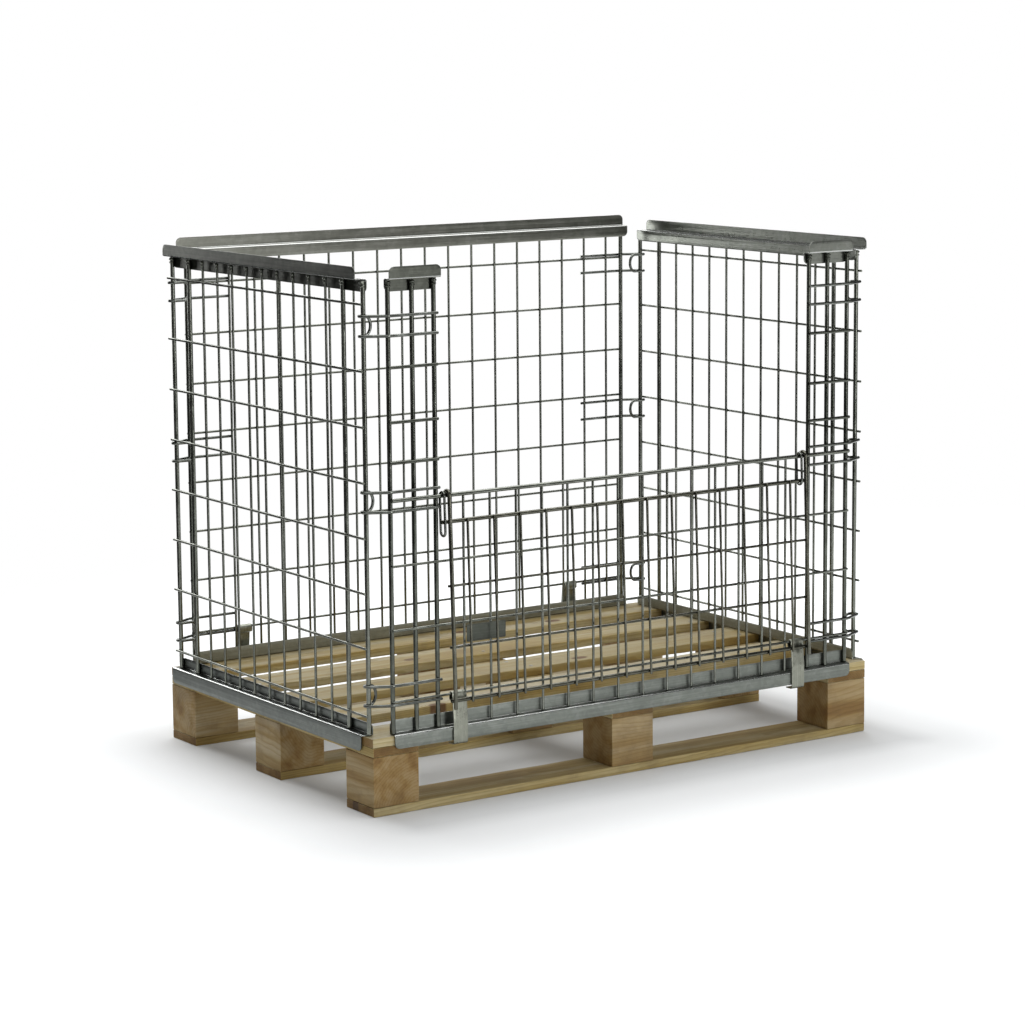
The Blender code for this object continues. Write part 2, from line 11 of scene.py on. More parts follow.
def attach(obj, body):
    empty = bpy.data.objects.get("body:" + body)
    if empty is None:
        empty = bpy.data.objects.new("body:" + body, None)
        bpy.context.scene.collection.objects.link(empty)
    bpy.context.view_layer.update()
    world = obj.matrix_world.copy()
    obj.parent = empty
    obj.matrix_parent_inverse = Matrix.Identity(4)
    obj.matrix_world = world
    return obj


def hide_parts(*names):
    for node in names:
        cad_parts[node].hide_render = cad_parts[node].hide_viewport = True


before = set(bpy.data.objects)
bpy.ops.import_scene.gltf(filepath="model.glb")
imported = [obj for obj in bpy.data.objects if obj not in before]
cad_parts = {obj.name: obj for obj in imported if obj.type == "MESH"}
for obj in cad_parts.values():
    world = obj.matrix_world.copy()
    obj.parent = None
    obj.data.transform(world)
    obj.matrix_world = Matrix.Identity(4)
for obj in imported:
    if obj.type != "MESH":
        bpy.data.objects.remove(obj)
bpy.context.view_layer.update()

print("frame loaded")


# sRGB hex to the linear colour that a socket takes
def linear(hexColour):
    parts = [int(hexColour[place:place + 2], 16) / 255 for place in (1, 3, 5)]
    return [part / 12.92 if part <= 0.04045 else ((part + 0.055) / 1.055) ** 2.4
            for part in parts] + [1.0]


# Adds one node. Text keys are sockets, set to a value or linked; stops fill a colour ramp.
def addNode(tree, kind, sockets=None, stops=None, **settings):
    made = tree.nodes.new("ShaderNode" + kind)
    for key, value in settings.items():
        setattr(made, key, value)
    for key, value in (sockets or {}).items():
        if isinstance(value, bpy.types.NodeSocket):
            tree.links.new(value, made.inputs[key])
        else:
            made.inputs[key].default_value = value
    if stops:
        ramp = made.color_ramp
        while len(ramp.elements) < len(stops):
            ramp.elements.new(0.5)
        for element, (place, colour) in zip(ramp.elements, stops):
            element.position = place
            element.color = linear(colour) if isinstance(colour, str) else (colour, colour, colour, 1.0)
    return made


def newMaterial(name):
    made = bpy.data.materials.new(name)
    made.use_nodes = True
    made.node_tree.nodes.clear()
    return made, made.node_tree


def finishMaterial(tree, shader):
    addNode(tree, "OutputMaterial", {"Surface": shader.outputs["BSDF"]})


# Sawn pine. Every board carries its own place in a log: x along the trunk, y and z out from the pith,
# so rings run as stripes on the faces and as arcs on the end grain.
def sawnPine(name, look):
    material, tree = newMaterial(name)
    grain = addNode(tree, "Attribute", attribute_name="grain").outputs["Vector"]
    cut = addNode(tree, "Attribute", attribute_name="endGrain").outputs["Fac"]
    edge = addNode(tree, "Attribute", attribute_name="edgeWearAndFoldGlint").outputs["Fac"]
    # Slow wander of the rings along the trunk
    stretched = addNode(tree, "VectorMath", {0: grain, 1: (0.16, 1, 1)}, operation="MULTIPLY")
    wander = addNode(tree, "TexNoise", {"Vector": stretched.outputs[0], "Scale": 14.0, "Detail": 2.0})
    shift = addNode(tree, "VectorMath", {0: wander.outputs["Color"], 1: (0.5, 0.5, 0.5)},
            operation="SUBTRACT")
    size = addNode(tree, "VectorMath", {0: shift.outputs[0], 1: (0, 0.03, 0.03)}, operation="MULTIPLY")
    # Knots: branches that cross the board, each pushing the rings aside
    flat = addNode(tree, "Attribute", attribute_name="face").outputs["Vector"]
    knotScale = 1 / look["knotSpacing"]
    spots = addNode(tree, "VectorMath", {0: flat, 1: (knotScale * 0.55, knotScale, 0)},
            operation="MULTIPLY")
    cells = addNode(tree, "TexVoronoi", {"Vector": spots.outputs[0], "Scale": 1.0},
            voronoi_dimensions="2D")
    chosen = addNode(tree, "SeparateColor", {"Color": cells.outputs["Color"]})
    keep = addNode(tree, "Math", {0: chosen.outputs[0], 1: look["knotShare"]}, operation="LESS_THAN")
    knotSize = look["knotRadius"] * knotScale
    near = addNode(tree, "MapRange", {"Value": cells.outputs["Distance"], "From Min": 0.0,
            "From Max": knotSize * 2.6, "To Min": 1.0, "To Max": 0.0}, interpolation_type="SMOOTHSTEP")
    pushed = addNode(tree, "Math", {0: near.outputs[0], 1: keep.outputs[0]}, operation="MULTIPLY")
    swirl = addNode(tree, "Math", {0: pushed.outputs[0], 1: 0.02}, operation="MULTIPLY")
    bent = addNode(tree, "VectorMath", {0: grain, 1: size.outputs[0]}, operation="ADD")
    lift = addNode(tree, "CombineXYZ", {"Y": swirl.outputs[0], "Z": swirl.outputs[0]})
    rings = addNode(tree, "VectorMath", {0: bent.outputs[0], 1: lift.outputs[0]}, operation="ADD")
    ringScale = 2 * math.pi / (20 * look["ringWidth"])
    growth = addNode(tree, "TexWave", {"Vector": rings.outputs[0], "Scale": ringScale,
            "Distortion": look["ringWander"], "Detail": 2.0, "Detail Scale": 0.4}, wave_type="RINGS",
            rings_direction="X", wave_profile="SAW")
    wood = addNode(tree, "ValToRGB", {"Fac": growth.outputs["Fac"]}, stops=look["ringStops"])
    # Fibres, about 0.8 mm wide and 60 mm long, drawn coarser than real ones so that they show
    long = addNode(tree, "VectorMath", {0: grain, 1: (1 / 0.06, 1 / 0.0016, 1 / 0.0016)},
            operation="MULTIPLY")
    fibre = addNode(tree, "TexNoise", {"Vector": long.outputs[0], "Scale": 1.0, "Detail": 3.0})
    fibreTone = addNode(tree, "ValToRGB", {"Fac": fibre.outputs["Fac"]},
            stops=[(0.3, look["fibreDark"]), (0.7, 1.0)])
    fibred = addNode(tree, "Mix", {0: 1.0, 6: wood.outputs[0], 7: fibreTone.outputs[0]}, data_type="RGBA",
            blend_type="MULTIPLY")
    # Yellow and brown bands, about 30 mm wide and long in the grain, from heartwood and weather
    broad = addNode(tree, "VectorMath", {0: grain, 1: (1.3, 30, 30)}, operation="MULTIPLY")
    bands = addNode(tree, "TexNoise", {"Vector": broad.outputs[0], "Scale": 1.0, "Detail": 3.0})
    bandTone = addNode(tree, "ValToRGB", {"Fac": bands.outputs["Fac"]}, stops=look["bandStops"])
    banded = addNode(tree, "Mix", {0: 1.0, 6: fibred.outputs[2], 7: bandTone.outputs[0]},
            data_type="RGBA", blend_type="MULTIPLY")
    # No two boards are the same: each has its own tone, from grey and yellow to nearly white
    own = addNode(tree, "Attribute", attribute_name="boardTone").outputs["Fac"]
    ownTone = addNode(tree, "ValToRGB", {"Fac": own}, stops=look["boardStops"])
    varied = addNode(tree, "Mix", {0: 1.0, 6: banded.outputs[2], 7: ownTone.outputs[0]}, data_type="RGBA",
            blend_type="MULTIPLY")
    # Thin resin and bark streaks, dark and reddish
    thread = addNode(tree, "VectorMath", {0: grain, 1: (1 / 0.11, 1 / 0.006, 1 / 0.006)},
            operation="MULTIPLY")
    resin = addNode(tree, "TexNoise", {"Vector": thread.outputs[0], "Scale": 1.0, "Detail": 2.0})
    streak = addNode(tree, "MapRange", {"Value": resin.outputs["Fac"], "From Min": look["streakFrom"],
            "From Max": look["streakFrom"] + 0.07, "To Min": 0.0, "To Max": 0.75})
    stained = addNode(tree, "Mix", {0: streak.outputs[0], 6: varied.outputs[2],
            7: linear(look["streak"])}, data_type="RGBA")
    # Knots are dark and reddish
    core = addNode(tree, "MapRange", {"Value": cells.outputs["Distance"], "From Min": knotSize * 0.8,
            "From Max": knotSize * 1.15, "To Min": 1.0, "To Max": 0.0}, interpolation_type="SMOOTHSTEP")
    knot = addNode(tree, "Math", {0: core.outputs[0], 1: keep.outputs[0]}, operation="MULTIPLY")
    knotted = addNode(tree, "Mix", {0: knot.outputs[0], 6: stained.outputs[2], 7: linear(look["knot"])},
            data_type="RGBA")
    # End grain drinks dirt and looks browner
    endTone = addNode(tree, "Mix", {0: cut, 6: (1, 1, 1, 1), 7: linear(look["endTint"])},
            data_type="RGBA")
    capped = addNode(tree, "Mix", {0: 1.0, 6: knotted.outputs[2], 7: endTone.outputs[2]},
            data_type="RGBA", blend_type="MULTIPLY")
    # The sides of a board are tinted yellow and kept brighter than the top, which is greyed: partly the
    # wood's own colour, partly painted light on the sides and painted shade on the top
    side = addNode(tree, "Attribute", attribute_name="sawnSide").outputs["Fac"]
    sideYellowAndLightTone = addNode(tree, "Mix", {0: side, 6: linear(look["topGreyAndShade"]), 7: linear(look["sideYellowAndLight"])},
            data_type="RGBA")
    agedAndSideLit = addNode(tree, "Mix", {0: 1.0, 6: capped.outputs[2], 7: sideYellowAndLightTone.outputs[2]}, data_type="RGBA",
            blend_type="MULTIPLY")
    # Handling dirt in soft patches, thicker along the worn edges
    place = addNode(tree, "TexCoord").outputs["Object"]
    smudge = addNode(tree, "TexNoise", {"Vector": place, "Scale": 9.0, "Detail": 6.0, "Roughness": 0.65})
    patch = addNode(tree, "MapRange", {"Value": smudge.outputs["Fac"], "From Min": 0.5, "From Max": 0.78,
            "To Min": 0.0, "To Max": look["dirt"]})
    worn = addNode(tree, "Math", {0: edge, 1: 0.35, 2: patch.outputs[0]}, operation="MULTIPLY_ADD",
            use_clamp=True)
    soiled = addNode(tree, "Mix", {0: worn.outputs[0], 6: agedAndSideLit.outputs[2], 7: linear(look["dirtColour"])},
            data_type="RGBA")
    # Saw marks across the grain, every 3 mm, and raised fibres
    saw = addNode(tree, "TexWave", {"Vector": grain, "Scale": 2 * math.pi / (20 * 0.003),
            "Distortion": 2.5, "Detail": 2.0}, bands_direction="X")
    relief = addNode(tree, "Math", {0: saw.outputs["Fac"], 1: 0.25, 2: fibre.outputs["Fac"]},
            operation="MULTIPLY_ADD")
    bump = addNode(tree, "Bump", {"Height": relief.outputs[0], "Strength": 0.55, "Distance": 0.0006})
    shader = addNode(tree, "BsdfPrincipled", {"Base Color": soiled.outputs[2], "Roughness": 0.72,
            "Metallic": 0.0, "IOR": 1.45, "Normal": bump.outputs[0]})
    finishMaterial(tree, shader)
    return material


# What all the zinc shares: a bright colour at a weld, partly zinc and partly painted highlight; a painted
# white highlight on the big blobs; and a painted highlight along a fold, which is also smoother
zincLook = {"weld": "#cdd0cc", "headGlint": "#d6dad9", "headGlintHeat": 1.4, "fold": "#d4d6d4", "foldRough": 0.16}


# Galvanised steel wire: hot zinc on drawn wire. It gives a dark, streaky gloss with dull grey patches,
# and brown tints where the zinc is thin beside a weld.
def galvanisedWire(name, look):
    material, tree = newMaterial(name)
    place = addNode(tree, "TexCoord").outputs["Object"]
    heat = addNode(tree, "Attribute", attribute_name="heat").outputs["Fac"]
    patches = addNode(tree, "TexNoise", {"Vector": place, "Scale": 1 / 0.03, "Detail": 4.0,
            "Roughness": 0.6})
    zinc = addNode(tree, "ValToRGB", {"Fac": patches.outputs["Fac"]}, stops=look["zincStops"])
    runs = addNode(tree, "TexNoise", {"Vector": place, "Scale": 1 / 0.0035, "Detail": 3.0,
            "Roughness": 0.7})
    speckle = addNode(tree, "MapRange", {"Value": runs.outputs["Fac"], "From Min": 0.35, "From Max": 0.7,
            "To Min": 0.88, "To Max": 1.06})
    even = addNode(tree, "VectorMath", {0: zinc.outputs[0], "Scale": speckle.outputs[0]},
            operation="SCALE")
    # The welds are painted brighter: partly zinc gathered there, partly a painted highlight
    weldGlintShare = addNode(tree, "Math", {0: heat, 1: look["weldZincGlint"]}, operation="MULTIPLY")
    toned = addNode(tree, "Mix", {0: weldGlintShare.outputs[0], 6: even.outputs[0],
            7: linear(zincLook["weld"])}, data_type="RGBA")
    rustSpots = addNode(tree, "TexNoise", {"Vector": place, "Scale": 1 / 0.016, "Detail": 5.0,
            "Roughness": 0.7})
    warm = addNode(tree, "Math", {0: heat, 1: look["weldRust"], 2: rustSpots.outputs["Fac"]},
            operation="MULTIPLY_ADD")
    rust = addNode(tree, "MapRange", {"Value": warm.outputs[0], "From Min": look["rustFrom"],
            "From Max": look["rustFrom"] + 0.16, "To Min": 0.0, "To Max": 0.65})
    colour = addNode(tree, "Mix", {0: rust.outputs[0], 6: toned.outputs[2], 7: linear(look["rust"])},
            data_type="RGBA")
    gloss = addNode(tree, "MapRange", {"Value": patches.outputs["Fac"], "From Min": 0.35, "From Max": 0.7,
            "To Min": look["roughness"][0], "To Max": look["roughness"][1]})
    rough = addNode(tree, "Math", {0: rust.outputs[0], 1: 0.4, 2: gloss.outputs[0]},
            operation="MULTIPLY_ADD", use_clamp=True)
    bump = addNode(tree, "Bump", {"Height": runs.outputs["Fac"], "Strength": 0.4, "Distance": 0.0002})
    # The big blobs at the bars' heads are painted matte white: a painted highlight
    headGlint = addNode(tree, "MapRange", {"Value": heat, "From Min": 1.0, "From Max": zincLook["headGlintHeat"],
            "To Min": 1.0, "To Max": 0.1})
    headGlinted = addNode(tree, "Mix", {0: headGlint.outputs[0], 6: linear(zincLook["headGlint"]),
            7: colour.outputs[2]}, data_type="RGBA")
    shader = addNode(tree, "BsdfPrincipled", {"Base Color": headGlinted.outputs[2],
            "Metallic": headGlint.outputs[0], "Roughness": rough.outputs[0], "Normal": bump.outputs[0]})
    finishMaterial(tree, shader)
    return material


# Galvanised steel sheet: folded from coated strip. It gives a blue-grey sheen with faint spangle, long
# rolling streaks, dull scuffs where pallets and forks have rubbed, and a bright line painted along each
# fold: a painted highlight.
def galvanisedSheet(name, look):
    material, tree = newMaterial(name)
    place = addNode(tree, "TexCoord").outputs["Object"]
    run = addNode(tree, "Attribute", attribute_name="run").outputs["Vector"]
    spangle = addNode(tree, "TexVoronoi", {"Vector": place, "Scale": 1 / 0.009})
    flower = addNode(tree, "SeparateColor", {"Color": spangle.outputs["Color"]})
    drawn = addNode(tree, "VectorMath", {0: run, 1: (1 / 0.18, 1 / 0.0035, 0)}, operation="MULTIPLY")
    streaks = addNode(tree, "TexNoise", {"Vector": drawn.outputs[0], "Scale": 1.0, "Detail": 4.0,
            "Roughness": 0.65})
    cloud = addNode(tree, "TexNoise", {"Vector": place, "Scale": 1 / 0.05, "Detail": 5.0,
            "Roughness": 0.6})
    # The tone is part streak, part cloud and part spangle
    streaked = addNode(tree, "Math", {0: streaks.outputs["Fac"], 1: 0.55}, operation="MULTIPLY")
    clouded = addNode(tree, "Math", {0: cloud.outputs["Fac"], 1: 0.35, 2: streaked.outputs[0]},
            operation="MULTIPLY_ADD")
    tone = addNode(tree, "Math", {0: flower.outputs[0], 1: 0.10, 2: clouded.outputs[0]},
            operation="MULTIPLY_ADD")
    zinc = addNode(tree, "ValToRGB", {"Fac": tone.outputs[0]}, stops=look["zincStops"])
    scuffLine = addNode(tree, "VectorMath", {0: run, 1: (1 / 0.035, 1 / 0.006, 0)}, operation="MULTIPLY")
    scuffs = addNode(tree, "TexNoise", {"Vector": scuffLine.outputs[0], "Scale": 1.0, "Detail": 6.0,
            "Roughness": 0.75})
    scuff = addNode(tree, "MapRange", {"Value": scuffs.outputs["Fac"], "From Min": 0.6, "From Max": 0.72,
            "To Min": 0.0, "To Max": 0.3})
    colour = addNode(tree, "Mix", {0: scuff.outputs[0], 6: zinc.outputs[0], 7: linear(look["scuff"])},
            data_type="RGBA")
    gloss = addNode(tree, "MapRange", {"Value": tone.outputs[0], "From Min": 0.3, "From Max": 0.7,
            "To Min": look["roughness"][0], "To Max": look["roughness"][1]})
    rough = addNode(tree, "Math", {0: scuff.outputs[0], 1: 0.2, 2: gloss.outputs[0]},
            operation="MULTIPLY_ADD", use_clamp=True)
    # Rolling lines: they bend reflections across the strip, never along it
    rolled = addNode(tree, "VectorMath", {0: run, 1: (1 / 0.9, 1 / 0.005, 0)}, operation="MULTIPLY")
    lines = addNode(tree, "TexNoise", {"Vector": rolled.outputs[0], "Scale": 1.0, "Detail": 1.0})
    bump = addNode(tree, "Bump", {"Height": lines.outputs["Fac"], "Strength": 0.6, "Distance": 0.0006})
    # The folds are made smoother, as if rubbed, and painted brighter: a painted highlight
    fold = addNode(tree, "Attribute", attribute_name="edgeWearAndFoldGlint").outputs["Fac"]
    foldGlintShare = addNode(tree, "Math", {0: fold, 1: look["foldGlint"]}, operation="MULTIPLY")
    foldGlinted = addNode(tree, "Mix", {0: foldGlintShare.outputs[0], 6: colour.outputs[2],
            7: linear(zincLook["fold"])}, data_type="RGBA")
    smooth = addNode(tree, "Mix", {0: fold, 2: rough.outputs[0], 3: zincLook["foldRough"]},
            data_type="FLOAT")
    shader = addNode(tree, "BsdfPrincipled", {"Base Color": foldGlinted.outputs[2],
            "Metallic": look["metallic"], "Roughness": smooth.outputs[0], "Normal": bump.outputs[0]})
    finishMaterial(tree, shader)
    return material


deckPine = sawnPine("sawn_pine_deck", {
    "ringWidth": 0.0048, "ringWander": 1.8,
    "ringStops": [(0.0, "#eee8d6"), (0.55, "#e8e0ca"), (0.9, "#cfc4a0"), (1.0, "#e0d8bd")],
    "bandStops": [(0.36, "#decd9a"), (0.44, "#efe5c4"), (0.52, "#faf7ec"), (0.66, "#ffffff")],
    "boardStops": [(0.0, "#d8d0b4"), (0.5, "#ece7d6"), (1.0, "#fffefa")],
    "topGreyAndShade": "#deded8", "sideYellowAndLight": "#fff8de",
    "streakFrom": 0.7, "streak": "#6f4d2a",
    "fibreDark": 0.8, "knotSpacing": 0.15, "knotShare": 0.36, "knotRadius": 0.011, "knot": "#6b4524",
    "endTint": "#c9a878", "dirt": 0.45, "dirtColour": "#6d5c40"})
blockPine = sawnPine("sawn_pine_block", {
    "ringWidth": 0.0066, "ringWander": 2.6,
    "topGreyAndShade": "#ffffff", "sideYellowAndLight": "#ffffff",
    "ringStops": [(0.0, "#dacbad"), (0.55, "#d6c7a6"), (0.88, "#c6b48e"), (1.0, "#d0c09e")],
    "bandStops": [(0.34, "#c4ac80"), (0.46, "#e6dabb"), (0.6, "#ffffff")],
    "boardStops": [(0.0, "#dcc7a0"), (0.5, "#efe4cc"), (1.0, "#fffcf4")],
    "streakFrom": 0.73, "streak": "#75522f",
    "fibreDark": 0.84, "knotSpacing": 0.09, "knotShare": 0.22, "knotRadius": 0.009, "knot": "#5d3d21",
    "endTint": "#efe5d2", "dirt": 0.5, "dirtColour": "#6a563a"})
footPine = sawnPine("sawn_pine_bottom", {
    "ringWidth": 0.0048, "ringWander": 1.8,
    "topGreyAndShade": "#e0ddd4", "sideYellowAndLight": "#fffbe6",
    "ringStops": [(0.0, "#f1e8d0"), (0.55, "#ebe1c8"), (0.9, "#d3c7a5"), (1.0, "#e3d9bb")],
    "bandStops": [(0.34, "#c0ac7a"), (0.48, "#dfd4b0"), (0.62, "#ffffff")],
    "boardStops": [(0.0, "#e9dcb8"), (0.5, "#f2ecd8"), (1.0, "#fffdf6")],
    "streakFrom": 0.71, "streak": "#6b4a28",
    "fibreDark": 0.8, "knotSpacing": 0.17, "knotShare": 0.35, "knotRadius": 0.01, "knot": "#5f3f22",
    "endTint": "#c7a878", "dirt": 0.4, "dirtColour": "#6a5a3d"})
# The wires of each part get their own tone of zinc: the gate and the posts get darker copies, painted
# shade
wireZinc = galvanisedWire("galvanised_wire", {
    "zincStops": [(0.3, "#64665f"), (0.55, "#777a72"), (0.75, "#8d9089")],
    "roughness": (0.12, 0.22), "rust": "#4a3d2a", "weldRust": 0.08, "weldZincGlint": 0.5, "rustFrom": 0.72})
gateZinc = galvanisedWire("galvanised_gate_wire_shaded", {
    "zincStops": [(0.3, "#505047"), (0.55, "#65655b"), (0.75, "#7e7e75")],
    "roughness": (0.12, 0.24), "rust": "#4d3c24", "weldRust": 0.12, "weldZincGlint": 0.3, "rustFrom": 0.66})
postZinc = galvanisedWire("galvanised_post_wire_shaded", {
    "zincStops": [(0.3, "#4a4c46"), (0.55, "#5c5f58"), (0.75, "#757872")],
    "roughness": (0.1, 0.2), "rust": "#4a3d2a", "weldRust": 0.08, "weldZincGlint": 0.5, "rustFrom": 0.72})
loopZinc = galvanisedWire("polished_zinc_loop", {
    "zincStops": [(0.3, "#585a55"), (0.55, "#6f726d"), (0.75, "#90938f")],
    "roughness": (0.1, 0.2), "rust": "#4a3d2a", "weldRust": 0.1, "weldZincGlint": 0.3, "rustFrom": 0.8})
# Each rail gets its own tone of one zinc sheet, made lighter or darker to stand in for the light it gets:
# painted light and painted shade, darkest on the left and front-left top rails. dusty_zinc_sheet is also
# rougher and less metallic
sheetZinc = galvanisedSheet("galvanised_sheet", {
    "zincStops": [(0.3, "#6f726b"), (0.5, "#81847d"), (0.68, "#979a94")],
    "roughness": (0.24, 0.36), "metallic": 1.0, "foldGlint": 0.6, "scuff": "#5b5e58"})
bottomZinc = galvanisedSheet("galvanised_sheet_low", {
    "zincStops": [(0.3, "#686c67"), (0.5, "#787c76"), (0.68, "#8e928c")],
    "roughness": (0.32, 0.46), "metallic": 1.0, "foldGlint": 0.6, "scuff": "#565953"})
sideZinc = galvanisedSheet("galvanised_sheet_side", {
    "zincStops": [(0.3, "#585c58"), (0.5, "#676b67"), (0.68, "#7c807b")],
    "roughness": (0.28, 0.4), "metallic": 1.0, "foldGlint": 0.6, "scuff": "#4b4e49"})
shadeZinc = galvanisedSheet("galvanised_sheet_top_shaded", {
    "zincStops": [(0.3, "#454742"), (0.5, "#53554f"), (0.68, "#666861")],
    "roughness": (0.3, 0.42), "metallic": 1.0, "foldGlint": 0.6, "scuff": "#41443f"})
rearZinc = galvanisedSheet("galvanised_sheet_dark", {
    "zincStops": [(0.3, "#6c6d65"), (0.5, "#7c7d75"), (0.68, "#8e8f88")],
    "roughness": (0.28, 0.4), "metallic": 1.0, "foldGlint": 0.6, "scuff": "#5c5d57"})
dustyZinc = galvanisedSheet("dusty_zinc_sheet", {
    "zincStops": [(0.3, "#77776b"), (0.5, "#88887a"), (0.68, "#9a9a8c")],
    "roughness": (0.42, 0.55), "metallic": 0.7, "foldGlint": 0.2, "scuff": "#66665b"})
clipZinc = galvanisedSheet("galvanised_clip_strip", {
    "zincStops": [(0.3, "#787a70"), (0.5, "#888a7f"), (0.68, "#9c9e93")],
    "roughness": (0.24, 0.34), "metallic": 1.0, "foldGlint": 0.6, "scuff": "#6b6d64"})
plateSteel = galvanisedSheet("dull_zinc_plate", {
    "zincStops": [(0.3, "#42453e"), (0.5, "#4f524b"), (0.68, "#5f625b")],
    "roughness": (0.4, 0.6), "metallic": 0.85, "foldGlint": 0.0, "scuff": "#5a5f5d"})
nailSteel = galvanisedWire("bright_nail_steel", {
    "zincStops": [(0.3, "#7d7a73"), (0.55, "#95928b"), (0.75, "#aba8a1")],
    "roughness": (0.35, 0.55), "rust": "#4f3822", "weldRust": 0.0, "weldZincGlint": 0.0, "rustFrom": 0.55})
print("materials made")


# An empty mesh with the layers that the materials read
def newShape():
    shape = bmesh.new()
    for layer in ("heat", "edgeWearAndFoldGlint", "boardTone"):
        shape.verts.layers.float.new(layer)
    for layer in ("grain", "face", "run"):
        shape.verts.layers.float_vector.new(layer)
    for layer in ("endGrain", "sawnSide"):
        shape.faces.layers.float.new(layer)
    return shape


def makePiece(name, shape, material, body, nodes, sharp=40.0):
    bmesh.ops.recalc_face_normals(shape, faces=shape.faces)
    mesh = bpy.data.meshes.new(name)
    shape.to_mesh(mesh)
    shape.free()
    mesh.materials.append(material)
    mesh.shade_smooth()
    mesh.set_sharp_from_angle(angle=math.radians(sharp))
    piece = bpy.data.objects.new(name, mesh)
    bpy.context.scene.collection.objects.link(piece)
    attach(piece, body)
    if nodes:
        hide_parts(*nodes)
    return piece


tubeSides = 14


# A round wire through rings of (centre, radius, heat). Heat is 1 at a weld and 0 away from it.
def addTube(shape, rings, closed=False):
    heatLayer = shape.verts.layers.float["heat"]
    centres = [Vector(ring[0]) for ring in rings]
    count = len(rings)
    loops = []
    side = None
    for number, (_, radius, heat) in enumerate(rings):
        before = centres[number - 1] if closed or number else centres[0]
        after = centres[(number + 1) % count] if closed or number < count - 1 else centres[-1]
        along = (after - before).normalized()
        side = along.orthogonal() if side is None else side - along * side.dot(along)
        side.normalize()
        up = along.cross(side)
        loop = []
        for part in range(tubeSides):
            turn = 2 * math.pi * part / tubeSides
            vert = shape.verts.new(centres[number] + radius * (math.cos(turn) * side
                    + math.sin(turn) * up))
            vert[heatLayer] = heat
            loop.append(vert)
        loops.append(loop)
    followers = loops[1:] + (loops[:1] if closed else [])
    for near, far in zip(loops, followers):
        for part in range(tubeSides):
            after = (part + 1) % tubeSides
            shape.faces.new((near[part], near[after], far[after], far[part]))
    if not closed:
        shape.faces.new(list(reversed(loops[0])))
        shape.faces.new(loops[-1])


cutEnd = {"chamfer": 0.0007, "heatReach": 0.009}


# A straight bar with its sheared ends broken, and rings where welds warm it
def addBar(shape, start, end, radius, welds=()):
    start = Vector(start)
    end = Vector(end)
    length = (end - start).length
    way = (end - start) / length
    chamfer = cutEnd["chamfer"]
    reach = cutEnd["heatReach"]
    marks = {0.0: 0.0, chamfer: 0.0, length - chamfer: 0.0, length: 0.0}
    for weld in welds:
        for step, heat in ((-reach, 0.0), (-reach * 0.4, 0.6), (0.0, 1.0), (reach * 0.4, 0.6),
                (reach, 0.0)):
            place = round(weld + step, 5)
            if chamfer * 2 < place < length - chamfer * 2:
                marks[place] = max(heat, marks.get(place, 0.0))
    rings = []
    for place in sorted(marks):
        narrowed = radius - chamfer if place in (0.0, length) else radius
        rings.append((start + way * place, narrowed, marks[place]))
    addTube(shape, rings)


# Weld beads, by what they join, as half sizes along X, Y and Z; heads are (drop, growth, half height)
weldLook = {
    "heat": 0.8, "lump": 0.22, "lumpScale": 900, "lean": 0.2,
    "sideRow": (0.0022, 0.0034, 0.0034), "rearRow": (0.0034, 0.0022, 0.0034),
    "frontRow": (0.0034, 0.002, 0.0034), "midRail": (0.0034, 0.002, 0.0036),
    "rung": (0.0036, 0.0018, 0.0036), "postRow": (0.0034, 0.0016, 0.0034),
    "postRail": (0.0036, 0.0016, 0.0038), "gateSide": (0.0036, 0.002, 0.0036),
    "gateThin": (0.0034, 0.0018, 0.0034), "loop": (0.003, 0.0014, 0.003),
    "footGrow": 0.0008, "footHigh": 0.0018,
    "headOut": 0.0014, "heads": ((0.0035, 0.0012, 0.0036), (0.0098, 0.0008, 0.0028)),
}


# The bead pressed out where two bars are resistance welded
def addWeld(shape, centre, size, heat=weldLook["heat"]):
    heatLayer = shape.verts.layers.float["heat"]
    turned = Matrix.Translation(centre) @ Matrix.Rotation(random.uniform(0, math.pi), 4, "Z")
    grown = bmesh.ops.create_icosphere(shape, subdivisions=2, radius=1.0,
            matrix=turned @ Matrix.Diagonal((*size, 1.0)))
    for vert in grown["verts"]:
        lump = weldLook["lump"] * noise.noise(vert.co * weldLook["lumpScale"])
        vert.co += (vert.co - Vector(centre)) * lump
        vert[heatLayer] = heat


# The run of weld round a bar's foot or head, against a rail's ledge
def addFootWeld(shape, x, y, z, radius):
    wide = radius + weldLook["footGrow"]
    addWeld(shape, (x, y, z), (wide, wide, weldLook["footHigh"]))


# Two blobs of weld, one above the other, that hold a bar's head inside a top rail, painted matte white as
# a painted highlight
def addHeadWeld(shape, x, y, top, radius):
    for drop, growth, high in weldLook["heads"]:
        addWeld(shape, (x, y, top - drop), (radius + growth, radius + growth, high),
                zincLook["headGlintHeat"])


def arcPoints(centre, radius, start, end, step=10.0):
    count = max(3, math.ceil(abs(math.degrees(end - start)) / step))
    turns = [start + (end - start) * part / count for part in range(count + 1)]
    return [(centre[0] + radius * math.cos(turn), centre[1] + radius * math.sin(turn)) for turn in turns]


def bothSides(places):
    return [side * place for place in places for side in (-1, 1)]


# Pallet. Sizes repeat the frame's.
palletLook = {
    "length": 1.2, "width": 0.8, "boardGap": 0.0003,
    "blockX": 0.55, "blockY": 0.35, "deckFirst": -0.352, "ringStep": 0.05,
    "bottomThick": 0.017, "blockHigh": 0.0965, "crossThick": 0.0178, "deckThick": 0.0178,
    "blockSide": 0.1, "deckWidth": 0.096, "deckStep": 0.176,
    "edge": 0.0016, "edgeWander": 0.0012, "deckTones": (1.0, 0.9, 0.3, 0.65, 0.75),
}


